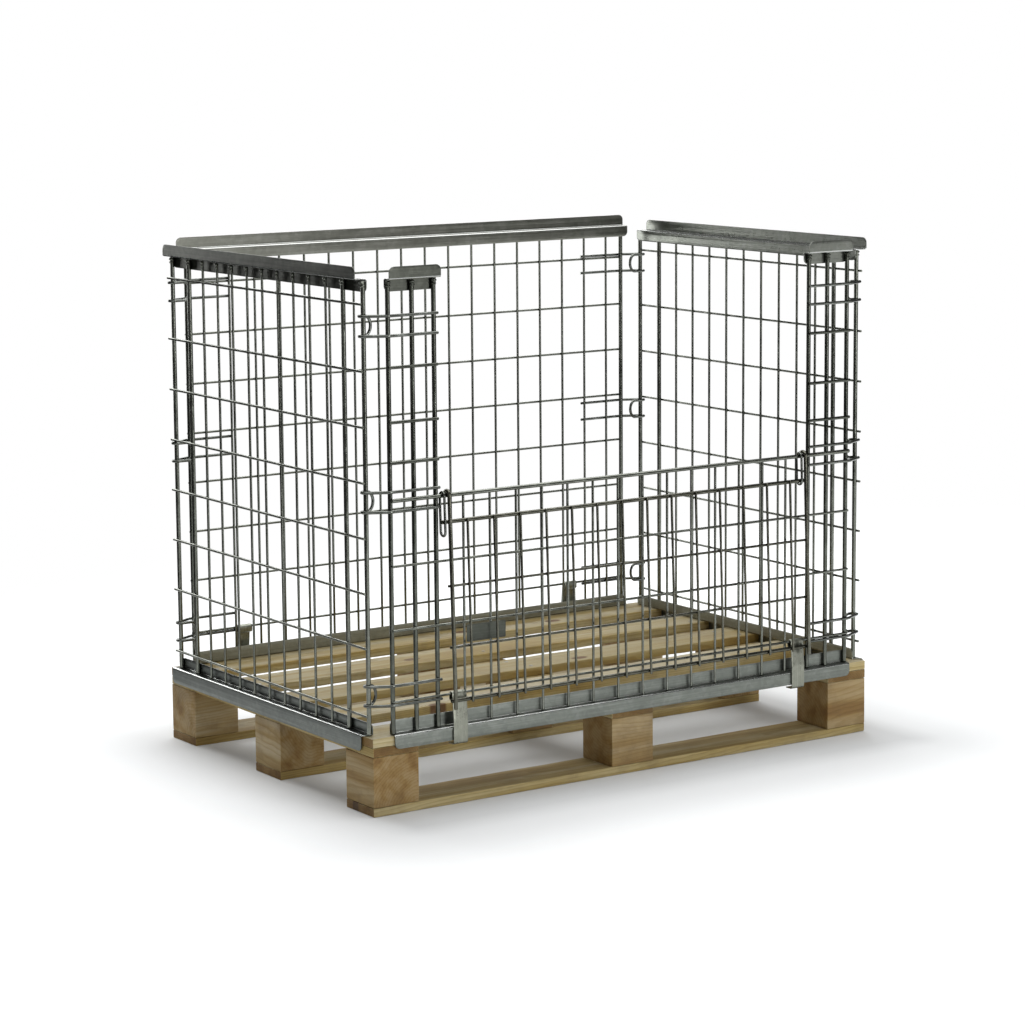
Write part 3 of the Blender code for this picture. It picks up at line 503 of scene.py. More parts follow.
# A sawn board in its own place in the log. way is the axis of the grain, 0 for X and 1 for Y.
def addBoard(name, centre, size, way, material, nodes, pith, tilt, seed, tone):
    shape = newShape()
    bmesh.ops.create_cube(shape, size=1.0, matrix=Matrix.Diagonal((*size, 1.0)))
    along = Vector((1, 0, 0)) if way == 0 else Vector((0, 1, 0))
    steps = max(2, round(size[way] / palletLook["ringStep"]))
    for part in range(1, steps):
        place = along * (size[way] * (part / steps - 0.5))
        bmesh.ops.bisect_plane(shape, geom=shape.verts[:] + shape.edges[:] + shape.faces[:],
                plane_co=place, plane_no=along)
    outer = [edge for edge in shape.edges if edge.calc_face_angle(0) > 1]
    edgeLayer = shape.verts.layers.float["edgeWearAndFoldGlint"]
    toneLayer = shape.verts.layers.float["boardTone"]
    bmesh.ops.bevel(shape, geom=outer, offset=palletLook["edge"], segments=3, profile=0.6, affect="EDGES")
    half = Vector(size) / 2
    for vert in shape.verts:
        close = sorted(half[axis] - abs(vert.co[axis]) for axis in range(3))
        isEdge = close[1] < palletLook["edge"] * 1.2
        vert[edgeLayer] = 1.0 if isEdge else 0.0
        vert[toneLayer] = tone
        wander = noise.noise(vert.co * 22 + Vector((seed, 0, 0)))
        if isEdge:
            pull = palletLook["edgeWander"] * max(0.0, wander)
            for axis in range(3):
                if half[axis] - abs(vert.co[axis]) < palletLook["edge"] * 1.2 and axis != way:
                    vert.co[axis] -= math.copysign(pull, vert.co[axis])
    grainLayer = shape.verts.layers.float_vector["grain"]
    faceLayer = shape.verts.layers.float_vector["face"]
    endLayer = shape.faces.layers.float["endGrain"]
    sideLayer = shape.faces.layers.float["sawnSide"]
    lean = Matrix.Rotation(tilt[0], 3, "Y") @ Matrix.Rotation(tilt[1], 3, "Z")
    for vert in shape.verts:
        place = vert.co if way == 0 else Vector((vert.co.y, -vert.co.x, vert.co.z))
        vert[grainLayer] = lean @ place + Vector((seed * 3.1, pith[0], pith[1]))
        vert[faceLayer] = (place.x + seed * 1.7, place.y + seed * 0.9, 0.0)
    for face in shape.faces:
        face.normal_update()
        face[endLayer] = 1.0 if abs(face.normal[way]) > 0.9 else 0.0
        face[sideLayer] = 1.0 if abs(face.normal[1 - way]) > 0.6 else 0.0
    for vert in shape.verts:
        vert.co += Vector(centre)
    return makePiece(name, shape, material, "pallet_and_cage", nodes,
            sharp=50.0)


random.seed(11)
rowPlaces = {"front": -1, "middle": 0, "rear": 1}
columnPlaces = {"left": -1, "middle": 0, "right": 1}
crossBase = palletLook["bottomThick"] + palletLook["blockHigh"] + 2 * palletLook["boardGap"]
deckBase = crossBase + palletLook["crossThick"] + palletLook["boardGap"]
deckTop = deckBase + palletLook["deckThick"]
deckRows = [palletLook["deckFirst"] + palletLook["deckStep"] * number for number in range(5)]
for rowName, side in rowPlaces.items():
    name = "bottom_board_" + rowName
    addBoard("sawn_" + name, (0, side * palletLook["blockY"], palletLook["bottomThick"] / 2),
            (palletLook["length"], palletLook["blockSide"], palletLook["bottomThick"]), 0, footPine,
            [name], (random.uniform(-0.03, 0.03), random.uniform(0.03, 0.06)), (0.012, 0.02), 5 + side,
            0.6)
for columnName, end in columnPlaces.items():
    name = "cross_board_" + columnName
    addBoard("sawn_" + name, (end * palletLook["blockX"], 0, crossBase + palletLook["crossThick"] / 2),
            (palletLook["blockSide"], palletLook["width"], palletLook["crossThick"]), 1, footPine, [name],
            (random.uniform(-0.03, 0.03), random.uniform(0.03, 0.05)), (0.015, 0.01), 9 + end, 0.7)
for number, y in enumerate(deckRows):
    name = f"deck_board_{number + 1}"
    addBoard("sawn_" + name, (0, y, deckBase + palletLook["deckThick"] / 2),
            (palletLook["length"], palletLook["deckWidth"], palletLook["deckThick"]), 0, deckPine, [name],
            (random.uniform(-0.04, 0.04), random.uniform(0.02, 0.06)),
            (random.uniform(-0.02, 0.02), random.uniform(-0.03, 0.03)), 13 + number,
            palletLook["deckTones"][number])

# Each block: grain axis, how far the pith is from its middle, and its tone
blockCuts = {
    ("front", "left"): (1, (0.06, 0.07), 0.55), ("front", "middle"): (0, (0.03, -0.06), 0.55),
    ("front", "right"): (0, (-0.05, 0.06), 0.4), ("middle", "left"): (1, (0.035, -0.045), 0.95),
    ("middle", "middle"): (0, (0.05, 0.03), 0.5), ("middle", "right"): (1, (-0.04, 0.05), 0.5),
    ("rear", "left"): (0, (0.06, 0.05), 1.0), ("rear", "middle"): (1, (-0.05, -0.05), 0.3),
    ("rear", "right"): (0, (0.05, -0.06), 0.5),
}
for (rowName, columnName), (way, pith, tone) in blockCuts.items():
    name = f"block_{rowName}_{columnName}"
    z = palletLook["bottomThick"] + palletLook["boardGap"] + palletLook["blockHigh"] / 2
    place = (columnPlaces[columnName] * palletLook["blockX"], rowPlaces[rowName] * palletLook["blockY"],
            z)
    side = palletLook["blockSide"]
    addBoard("sawn_" + name, place, (side, side, palletLook["blockHigh"]), way, blockPine, [name], pith,
            (0.03, 0.05), 20 + place[0] * 3 + place[1] * 7, tone)
print("pallet made")

nailLook = {"headRadius": 0.0042, "headThick": 0.0008, "sunk": 0.0003, "rim": 0.0002, "inset": 0.028,
        "skew": 0.014, "jitter": 0.004}


# Flat nail heads, a little domed, driven nearly flush
def addNails(name, spots, facing):
    shape = newShape()
    for x, y, z in spots:
        stray = nailLook["jitter"]
        jitter = Vector((random.uniform(-stray, stray), random.uniform(-stray, stray), 0))
        head = Matrix.Translation(Vector((x, y,
                z + facing * (nailLook["headThick"] / 2 - nailLook["sunk"]))) + jitter)
        made = bmesh.ops.create_cone(shape, cap_ends=True, segments=20, radius1=nailLook["headRadius"],
                radius2=nailLook["headRadius"], depth=nailLook["headThick"], matrix=head)
        rim = [edge for edge in {edge for vert in made["verts"] for edge in vert.link_edges}
                if edge.calc_face_angle(0) > 1]
        bmesh.ops.bevel(shape, geom=rim, offset=nailLook["rim"], segments=1, affect="EDGES")
    return makePiece(name, shape, nailSteel, "pallet_and_cage", [])


deckNails = []
for y in deckRows:
    for end in (-1, 0, 1):
        for shift in (-1, 1):
            x = end * palletLook["blockX"] - shift * nailLook["skew"]
            deckNails.append((x, y + shift * nailLook["inset"], deckTop))
addNails("nail_heads_deck", deckNails, 1)
bottomNails = []
for side in (-1, 0, 1):
    for end in (-1, 0, 1):
        for shift, lean in ((-1, -1), (1, -1), (0, 1)):
            x = end * palletLook["blockX"] + shift * nailLook["inset"]
            bottomNails.append((x, side * palletLook["blockY"] + lean * nailLook["inset"], 0.0))
addNails("nail_heads_bottom", bottomNails, -1)
print("nails made")


# Cage wires. Sizes repeat the frame's, but the thick uprights are drawn 1 mm wider.
cage = {
    "foot": 0.1538, "top": 1.0035, "rearTop": 1.014, "thick": 0.004, "upright": 0.0045, "thin": 0.0025,
    "longPlane": 0.391, "shortPlane": 0.591, "rowStep": 0.0061, "thinStep": 0.0015,
    "longEnd": 0.55, "shortEnd": 0.372, "shortSecond": 0.301,
    "shortRows": (0.188, 0.317, 0.421, 0.525, 0.629, 0.733, 0.837, 0.961),
    "rearRows": (0.216, 0.327, 0.4297, 0.5324, 0.6351, 0.7378, 0.8405, 0.946),
    "frontRows": (0.214, 0.349, 0.471),
    "midRail": 0.595, "rungs": (0.665, 0.741, 0.843), "rungRadius": 0.0032, "rungEnds": (0.446, 0.554),
    "pitch": 0.06, "rowStart": 0.002, "rowLap": 0.01, "postBars": (0.55, 0.498, 0.45),
    "frontThin": -0.3932, "frontRow": -0.3978, "frontRail": -0.3993, "rungPlane": -0.3976,
    "rungWeld": -0.3948, "postWeld": -0.3951, "footHeat": 0.002, "headHeat": 0.846, "rearHeadHeat": 0.856,
}


def thinPlaces(count):
    return bothSides([cage["pitch"] / 2 + cage["pitch"] * step for step in range(count)])


# One side mesh: thick bars at the ends, thin bars between, rows outside them
def addSideMesh(name, side):
    shape = newShape()
    plane = side * cage["shortPlane"]
    thinPlane = side * (cage["shortPlane"] + cage["thinStep"])
    rowPlane = side * (cage["shortPlane"] + cage["rowStep"])
    uprights = [(y, plane, cage["upright"]) for y in bothSides([cage["shortEnd"], cage["shortSecond"]])]
    uprights += [(cage["pitch"] * step, thinPlane, cage["thin"]) for step in range(-4, 5)]
    heights = [z - cage["foot"] for z in cage["shortRows"]] + [cage["footHeat"], cage["headHeat"]]
    for y, x, radius in uprights:
        addBar(shape, (x, y, cage["foot"]), (x, y, cage["top"]), radius, heights)
        addFootWeld(shape, x, y, cage["foot"], radius)
        addHeadWeld(shape, x + side * weldLook["headOut"], y, cage["top"], radius)
        for z in cage["shortRows"]:
            out = (x + rowPlane) / 2 + side * radius * weldLook["lean"]
            addWeld(shape, (out, y, z), weldLook["sideRow"])
    start = side * (cage["shortEnd"] + cage["rowStart"])
    end = -side * (cage["shortEnd"] + cage["rowLap"])
    for z in cage["shortRows"]:
        addBar(shape, (rowPlane, start, z), (rowPlane, end, z), cage["thin"],
                [abs(y - start) for y, _, _ in uprights])
    return makePiece("wire_" + name, shape, wireZinc, "pallet_and_cage", [name])


def addRearMesh():
    shape = newShape()
    thinPlane = cage["longPlane"] + cage["thinStep"]
    rowPlane = cage["longPlane"] + cage["rowStep"]
    uprights = [(x, cage["longPlane"], cage["upright"]) for x in (-cage["longEnd"], cage["longEnd"])]
    uprights += [(x, thinPlane, cage["thin"]) for x in thinPlaces(9)]
    heights = [z - cage["foot"] for z in cage["rearRows"]] + [cage["footHeat"], cage["rearHeadHeat"]]
    for x, y, radius in uprights:
        addBar(shape, (x, y, cage["foot"]), (x, y, cage["rearTop"]), radius, heights)
        addFootWeld(shape, x, y, cage["foot"], radius)
        addHeadWeld(shape, x, y + weldLook["headOut"], cage["rearTop"], radius)
        for z in cage["rearRows"]:
            addWeld(shape, (x, (y + rowPlane) / 2 + radius * weldLook["lean"], z), weldLook["rearRow"])
    start = -cage["longEnd"] - cage["rowStart"]
    for z in cage["rearRows"]:
        addBar(shape, (start, rowPlane, z), (-start, rowPlane, z), cage["thin"],
                [x - start for x, _, _ in uprights])
    return makePiece("wire_rear_mesh", shape, wireZinc, "pallet_and_cage", ["rear_mesh"])


# The fixed lower half of the front, with the mid rail that the gate hangs on
def addFrontMesh():
    shape = newShape()
    thinPlane = cage["frontThin"]
    rowPlane = cage["frontRow"]
    railPlane = cage["frontRail"]
    uprights = thinPlaces(7)
    heights = [z - cage["foot"] for z in cage["frontRows"]]
    heights += [cage["footHeat"], cage["midRail"] - cage["foot"]]
    for x in uprights:
        addBar(shape, (x, thinPlane, cage["foot"]), (x, thinPlane, cage["midRail"] + cage["thin"]),
                cage["thin"], heights)
        addFootWeld(shape, x, thinPlane, cage["foot"], cage["thin"])
        for z in cage["frontRows"]:
            addWeld(shape, (x, (thinPlane + rowPlane) / 2, z), weldLook["frontRow"])
        addWeld(shape, (x, (thinPlane + railPlane) / 2 + 0.0006, cage["midRail"]), weldLook["midRail"])
    start = -cage["longEnd"] - cage["rowStart"]
    ends = [x - start for x in cage["postBars"]]
    for z in cage["frontRows"]:
        addBar(shape, (start, rowPlane, z), (-start, rowPlane, z), cage["thin"],
                [x - start for x in uprights] + ends)
    addBar(shape, (start, railPlane, cage["midRail"]), (-start, railPlane, cage["midRail"]),
            cage["thick"], [x - start for x in uprights] + ends)
    return makePiece("wire_front_mesh", shape, wireZinc, "pallet_and_cage", ["front_mesh"])


def addFrontPost(name, side):
    shape = newShape()
    plane = -cage["longPlane"]
    rungPlane = cage["rungPlane"]
    near, far = cage["rungEnds"]
    heights = [z - cage["foot"] for z in cage["rungs"] + cage["frontRows"] + (cage["midRail"],)]
    heights += [cage["footHeat"], cage["headHeat"]]
    for x in cage["postBars"]:
        addBar(shape, (side * x, plane, cage["foot"]), (side * x, plane, cage["top"]), cage["upright"],
                heights)
        addFootWeld(shape, side * x, plane, cage["foot"], cage["upright"])
        addHeadWeld(shape, side * x, plane - weldLook["headOut"], cage["top"], cage["upright"])
        for z in cage["rungs"]:
            addWeld(shape, (side * x, cage["rungWeld"], z), weldLook["rung"])
        for z in cage["frontRows"]:
            addWeld(shape, (side * x, cage["postWeld"], z), weldLook["postRow"])
        addWeld(shape, (side * x, cage["postWeld"], cage["midRail"]), weldLook["postRail"])
    for z in cage["rungs"]:
        addBar(shape, (side * near, rungPlane, z), (side * far, rungPlane, z), cage["rungRadius"],
                [abs(x - near) for x in cage["postBars"]])
    return makePiece("wire_" + name, shape, postZinc, "pallet_and_cage", [name])


addSideMesh("side_mesh_left", -1)
addSideMesh("side_mesh_right", 1)
addRearMesh()
addFrontMesh()
addFrontPost("front_post_left", -1)
addFrontPost("front_post_right", 1)
print("cage panels made")

# Drop gate, built hanging straight down from its axis and then leaned out
gateLook = {
    "axis": (0.0, -0.3993, 0.595), "lean": math.radians(-2.2), "side": 0.43, "offset": 0.0083,
    "length": 0.407, "hookTurn": math.radians(205), "second": 0.05, "bottom": 0.391,
    "rows": (0.172, 0.289), "thickPlane": -0.0007, "rowPlane": -0.0022, "thinPlane": -0.0068,
    "weldPlane": -0.0045, "sideLap": 0.005, "leftReach": 0.0145, "thinFoot": 0.006,
    "linkHalf": 0.008, "linkWire": 0.0025, "links": {"left": (-0.441, 0.088), "right": (0.42, 0.069)},
}
gatePlace = Matrix.Translation(gateLook["axis"]) @ Matrix.Rotation(gateLook["lean"], 4, "X")


def addGate():
    shape = newShape()
    half = gateLook["side"] + gateLook["sideLap"]
    offset = gateLook["offset"]
    weldPlane = gateLook["weldPlane"]
    thick = cage["thick"]
    chamfer = cutEnd["chamfer"]
    reach = cutEnd["heatReach"]
    crossings = [gateLook["second"], *gateLook["rows"], gateLook["bottom"]]
    hook = arcPoints((0.0, 0.0), offset, 0.0, gateLook["hookTurn"])
    for x in (-gateLook["side"], gateLook["side"]):
        rings = [((x, -offset, -gateLook["length"]), thick - chamfer, 0.0),
                ((x, -offset, -gateLook["length"] + chamfer), thick, 0.0)]
        for drop in sorted(crossings, reverse=True):
            for step, heat in ((-reach, 0.0), (0.0, 1.0), (reach, 0.0)):
                rings.append(((x, -offset, -drop + step), thick, heat))
            addWeld(shape, (x, weldPlane, -drop), weldLook["gateSide"])
        rings += [((x, -y, z), thick, 0.0) for y, z in hook]
        addTube(shape, rings)
    thins = thinPlaces(7)
    head = -gateLook["second"] + thick
    foot = -gateLook["bottom"] - gateLook["thinFoot"]
    for x in thins:
        addBar(shape, (x, gateLook["thinPlane"], foot), (x, gateLook["thinPlane"], head), cage["thin"],
                [-drop - foot for drop in crossings])
        for drop in crossings:
            addWeld(shape, (x, weldPlane, -drop), weldLook["gateThin"])
    for drop in gateLook["rows"]:
        addBar(shape, (-half, gateLook["rowPlane"], -drop), (half, gateLook["rowPlane"], -drop),
                cage["thin"], [x + half for x in thins])
    addBar(shape, (-half, gateLook["thickPlane"], -gateLook["bottom"]),
            (half, gateLook["thickPlane"], -gateLook["bottom"]), thick, [x + half for x in thins])
    left = -gateLook["side"] - gateLook["leftReach"]
    addBar(shape, (left, gateLook["thickPlane"], -gateLook["second"]),
            (half, gateLook["thickPlane"], -gateLook["second"]), thick, [x - left for x in thins])
    bmesh.ops.transform(shape, matrix=gatePlace, verts=shape.verts)
    return makePiece("wire_gate", shape, gateZinc, "drop_gate", ["gate"])


# A closed loop of wire round the mid rail and the gate's second bar
def addLink(name, x, length):
    shape = newShape()
    half = gateLook["linkHalf"]
    wire = gateLook["linkWire"]
    top = cage["thick"] + 0.0003 + wire
    outline = arcPoints((0.0, top - half), half, 0.0, math.pi)
    outline += arcPoints((0.0, top + 2 * wire - length + half), half, math.pi, 2 * math.pi)
    addTube(shape, [((x, y, z), wire, 0.0) for y, z in outline], closed=True)
    bmesh.ops.transform(shape, matrix=gatePlace, verts=shape.verts)
    return makePiece("wire_" + name, shape, loopZinc, "drop_gate", [name])


addGate()
for hand, (x, length) in gateLook["links"].items():
    addLink("gate_link_" + hand, x, length)
print("gate made")

# Corner hinge loops: legs on the long side's bars, the wire round the short side's end bar
hingeLook = {
    "wire": 0.003, "spread": 0.037, "legStart": 0.445, "legPlane": 0.3988, "bend": 0.556,
    "wrap": 0.0078, "turnPlaces": {"front": 0.584, "rear": 0.57}, "turnPlane": 0.3642, "bulge": 0.013,
    "uppers": {("front", "low"): 0.2452, ("front", "middle"): 0.6115, ("front", "high"): 0.939,
               ("rear", "low"): 0.2472, ("rear", "middle"): 0.622, ("rear", "high"): 0.9518},
    "bendSteps": ((-0.006, 0.0), (-0.002, -0.0001), (0.0016, -0.0008), (0.005, -0.003)),
    "bars": {"front": (0.45, 0.498, 0.55), "rear": (0.45, 0.51, 0.55)},
}


def hingeRun(upper, lower, turnPlace):
    bend = Vector((hingeLook["bend"], hingeLook["legPlane"]))
    centre = Vector((cage["shortPlane"], cage["shortEnd"]))
    gap = bend - centre
    touch = math.atan2(gap.y, gap.x) - math.acos(hingeLook["wrap"] / gap.length)
    plan = [(hingeLook["legStart"], hingeLook["legPlane"]),
            (hingeLook["legStart"] + cutEnd["chamfer"], hingeLook["legPlane"])]
    plan += [tuple(bend + Vector(step)) for step in hingeLook["bendSteps"]]
    plan += arcPoints(tuple(centre), hingeLook["wrap"], touch, -math.pi / 2, 9.0)
    middle = (upper + lower) / 2
    spread = (upper - lower) / 2
    turn = [(turnPlace - hingeLook["bulge"] * math.sin(step), hingeLook["turnPlane"],
            middle + spread * math.cos(step)) for step in [math.pi * part / 18 for part in range(19)]]
    points = [(x, y, upper) for x, y in plan] + turn
    return points + [(x, y, lower) for x, y in reversed(plan)]


for (end, level), upper in hingeLook["uppers"].items():
    for hand, side in (("left", -1), ("right", 1)):
        shape = newShape()
        front = -1 if end == "front" else 1
        points = [(side * x, front * y, z) for x, y, z in hingeRun(upper, upper - hingeLook["spread"],
                hingeLook["turnPlaces"][end])]
        last = len(points) - 1
        rings = [(point, hingeLook["wire"] - (cutEnd["chamfer"] if number in (0, last) else 0.0), 0.0)
                for number, point in enumerate(points)]
        addTube(shape, rings)
        for z in (upper, upper - hingeLook["spread"]):
            for x in hingeLook["bars"][end]:
                onThick = end == "front" or x == cage["longEnd"]
                out = cage["longPlane"] + (0.0 if onThick else cage["thinStep"])
                out += cage["upright"] if onThick else cage["thin"]
                addWeld(shape, (side * x, front * out, z), weldLook["loop"])
        name = f"corner_hinge_{end}_{hand}_{level}"
        makePiece("wire_" + name, shape, loopZinc, "pallet_and_cage", [name])
print("corner hinges made")

# Folded rails: an inner leg behind the bars, a ledge across them and an outer leg. The bottom rails'
# outer legs lap the pallet's edge; the top rails are the same shape upside down.
railLook = {
    "sheet": 0.002, "corner": 0.011, "fold": 0.0025, "cutEdge": 0.0004, "wave": 0.0003, "step": 0.03,
    "longEnd": 0.554, "shortEnd": 0.376, "rearEnd": 0.565, "postStart": 0.441,
    "long": {"inner": 0.3857, "outer": 0.4035},
    "short": {"inner": 0.5857, "outer": 0.6035},
    "longBottom": {"ledge": 0.1513, "legs": (0.026, 0.026), "rise": 1, "skew": 0.0},
    "shortBottom": {"ledge": 0.1513, "legs": (0.0215, 0.031), "rise": 1, "skew": -0.012},
    "shortTop": {"ledge": 1.006, "legs": (0.0235, 0.0235), "rise": -1, "skew": -0.012},
    "frontTop": {"ledge": 1.006, "legs": (0.0235, 0.0235), "rise": -1, "skew": 0.0},
    "rearTop": {"ledge": 1.0165, "legs": (0.0235, 0.0235), "rise": -1, "skew": 0.0},
}


# Joins the points of one line across a strip to those of the next
def addStrip(shape, grid):
    for near, far in zip(grid, grid[1:]):
        for part in range(len(near) - 1):
            shape.faces.new((near[part], far[part], far[part + 1], near[part + 1]))


# Gives a folded strip the thickness of its sheet and breaks the cut edges
def thicken(piece, sheet):
    thick = piece.modifiers.new("sheet", "SOLIDIFY")
    thick.thickness = sheet
    thick.offset = 0.0
    thick.use_even_offset = True
    edge = piece.modifiers.new("cutEdge", "BEVEL")
    edge.width = railLook["cutEdge"]
    edge.segments = 2
    edge.limit_method = "ANGLE"
    edge.angle_limit = math.radians(60)


def addRail(name, start, end, sides, level, turn, finish):
    shape = newShape()
    runLayer = shape.verts.layers.float_vector["run"]
    edgeLayer = shape.verts.layers.float["edgeWearAndFoldGlint"]
    inner = sides["inner"]
    outer = sides["outer"]
    ledge = level["ledge"]
    rise = level["rise"]
    innerLeg, outerLeg = level["legs"]
    fold = railLook["fold"]
    corner = railLook["corner"]
    places = [corner * (1 - math.cos(math.radians(step))) for step in range(0, 91, 10)]
    stations = [start + place for place in places]
    steps = max(2, round((end - start - 2 * corner) / railLook["step"]))
    stations += [start + corner + (end - start - 2 * corner) * part / steps for part in range(1, steps)]
    stations += [end - place for place in reversed(places)]
    grid = []
    for x in stations:
        close = min(x - start, end - x)
        cut = corner - math.sqrt(max(0.0, corner ** 2 - (corner - close) ** 2)) if close < corner else 0.0
        innerTip = innerLeg - cut
        outerTip = outerLeg - cut
        # Distance inward from the outer leg, and height in the leg's way
        profile = [(inner, rise * (fold + (innerTip - fold) * part / 3)) for part in (3, 2, 1)]
        profile += [(inner + fold - fold * math.cos(a), rise * (fold - fold * math.sin(a)))
                for a in [math.radians(step) for step in range(0, 91, 18)]]
        profile += [(inner + fold + (outer - inner - 2 * fold) * part / 3, 0.0) for part in (1, 2)]
        profile += [(outer - fold + fold * math.sin(a), -rise * (fold - fold * math.cos(a)))
                for a in [math.radians(step) for step in range(0, 91, 18)]]
        profile += [(outer, -rise * (fold + (outerTip - fold) * part / 3)) for part in (1, 2, 3)]
        line = []
        distance = 0.0
        last = profile[0]
        for out, height in profile:
            distance += math.hypot(out - last[0], height - last[1])
            last = (out, height)
            sway = railLook["wave"] * noise.noise(Vector((x * 7 + inner * 9, rise * 3, turn)))
            sway *= abs(height) / outerLeg
            slide = level["skew"] * (out - inner) / (outer - inner)
            vert = shape.verts.new((x + slide, -(out + sway), ledge + height))
            vert[runLayer] = (x + turn * 3, distance + rise, 0.0)
            # Marks the folds, which get a painted highlight
            vert[edgeLayer] = 1.0 if abs(height) < fold and min(out - inner, outer - out) < fold else 0.0
            line.append(vert)
        grid.append(line)
    addStrip(shape, grid)
    bmesh.ops.rotate(shape, verts=shape.verts, cent=(0, 0, 0), matrix=Matrix.Rotation(turn, 3, "Z"))
    piece = makePiece("folded_" + name, shape, finish, "pallet_and_cage", [name],
            sharp=35.0)
    thicken(piece, railLook["sheet"])


quarter = math.pi / 2
longEnd = railLook["longEnd"]
shortEnd = railLook["shortEnd"]
rearEnd = railLook["rearEnd"]
postStart = railLook["postStart"]
for name, turn, finish in (("front", 0, bottomZinc), ("rear", 2, dustyZinc)):
    addRail("bottom_rail_" + name, -longEnd, longEnd, railLook["long"], railLook["longBottom"],
            quarter * turn, finish)
for name, turn, lowFinish, highFinish in (("right", 1, dustyZinc, sheetZinc),
        ("left", 3, sideZinc, shadeZinc)):
    addRail("bottom_rail_" + name, -shortEnd, shortEnd, railLook["short"], railLook["shortBottom"],
            quarter * turn, lowFinish)
    addRail("top_rail_" + name, -shortEnd, shortEnd, railLook["short"], railLook["shortTop"],
            quarter * turn, highFinish)
addRail("top_rail_rear", -rearEnd, rearEnd, railLook["long"], railLook["rearTop"], quarter * 2, rearZinc)
addRail("top_rail_front_left", -longEnd, -postStart, railLook["long"], railLook["frontTop"], 0.0,
        shadeZinc)
addRail("top_rail_front_right", postStart, longEnd, railLook["long"], railLook["frontTop"], 0.0,
        sheetZinc)
print("rails made")

# Pallet clips: a strip curled round the lowest row, down over the rail and under the deck
clipLook = {
    "width": 0.032, "sheet": 0.002, "eyeHalf": 0.005, "eyeDepth": 0.011, "bend": 0.1643, "toe": 0.1178,
    "toeTurn": 0.004, "toeReach": 0.019, "plate": 0.407, "eyeTop": 0.0038, "columns": 6,
    "places": {"front_left": (-0.4095, -0.3978, 0.214), "front_right": (0.4141, -0.3978, 0.214),
               "rear_left": (-0.428, 0.3971, 0.216), "rear_right": (0.4095, 0.3971, 0.216)},
}


def addClip(place, spot):
    shape = newShape()
    runLayer = shape.verts.layers.float_vector["run"]
    x, row, wire = spot
    front = -1 if row < 0 else 1
    plateOut = clipLook["plate"] - abs(row)
    half = clipLook["eyeHalf"]
    eyeTop = clipLook["eyeTop"]
    line = arcPoints((0.0, eyeTop - clipLook["eyeDepth"]), half, -math.pi / 3, -math.pi, 12.0)
    line += arcPoints((0.0, eyeTop - half), half, math.pi, 0.0, 12.0)
    bend = clipLook["bend"] - wire
    toe = clipLook["toe"] - wire
    turn = clipLook["toeTurn"]
    line += [(half + (plateOut - half) * 0.9, bend + 0.0035), (plateOut - 0.0001, bend + 0.0012),
            (plateOut, bend - 0.002), (plateOut, (bend + toe) / 2)]
    line += arcPoints((plateOut - turn, toe + turn), turn, 0.0, -math.pi / 2, 18.0)
    line += [(plateOut - clipLook["toeReach"] * 0.6, toe), (plateOut - clipLook["toeReach"], toe)]
    columns = clipLook["columns"]
    grid = []
    distance = 0.0
    last = line[0]
    for out, height in line:
        distance += math.hypot(out - last[0], height - last[1])
        last = (out, height)
        strip = []
        for part in range(columns + 1):
            across = clipLook["width"] * (part / columns - 0.5)
            vert = shape.verts.new((across, -out, height))
            vert[runLayer] = (distance + x, across, 0.0)
            strip.append(vert)
        grid.append(strip)
    addStrip(shape, grid)
    if front > 0:
        bmesh.ops.rotate(shape, verts=shape.verts, cent=(0, 0, 0),
                matrix=Matrix.Rotation(math.pi, 3, "Z"))
    bmesh.ops.translate(shape, verts=shape.verts, vec=(x, row, wire))
    name = "pallet_clip_" + place
    piece = makePiece("bent_" + name, shape, clipZinc, "clip_" + place, [name],
            sharp=35.0)
    thicken(piece, clipLook["sheet"])


for place, spot in clipLook["places"].items():
    addClip(place, spot)
print("clips made")

# Label plate, left bare
plateLook = {"centre": (-0.3427, -0.3965, 0.3255), "size": (0.089, 0.001, 0.033), "corner": 0.003,
        "rim": 0.0002}


def addPlate():
    shape = newShape()
    runLayer = shape.verts.layers.float_vector["run"]
    bmesh.ops.create_cube(shape, size=1.0, matrix=Matrix.Diagonal((*plateLook["size"], 1.0)))
    upright = [edge for edge in shape.edges if abs(edge.verts[0].co.y - edge.verts[1].co.y) > 0.0005]
    bmesh.ops.bevel(shape, geom=upright, offset=plateLook["corner"], segments=5, profile=0.5,
            affect="EDGES")
    rim = [edge for edge in shape.edges if edge.calc_face_angle(0) > 1]
    bmesh.ops.bevel(shape, geom=rim, offset=plateLook["rim"], segments=1, affect="EDGES")
    for vert in shape.verts:
        vert[runLayer] = (vert.co.x, vert.co.z, 0.0)
        vert.co += Vector(plateLook["centre"])
    return makePiece("bare_label_plate", shape, plateSteel, "pallet_and_cage", ["label_plate"])


addPlate()
print("label plate made")


# Studio: a pale round floor, one large softbox overhead, and smaller ones for the zinc to mirror

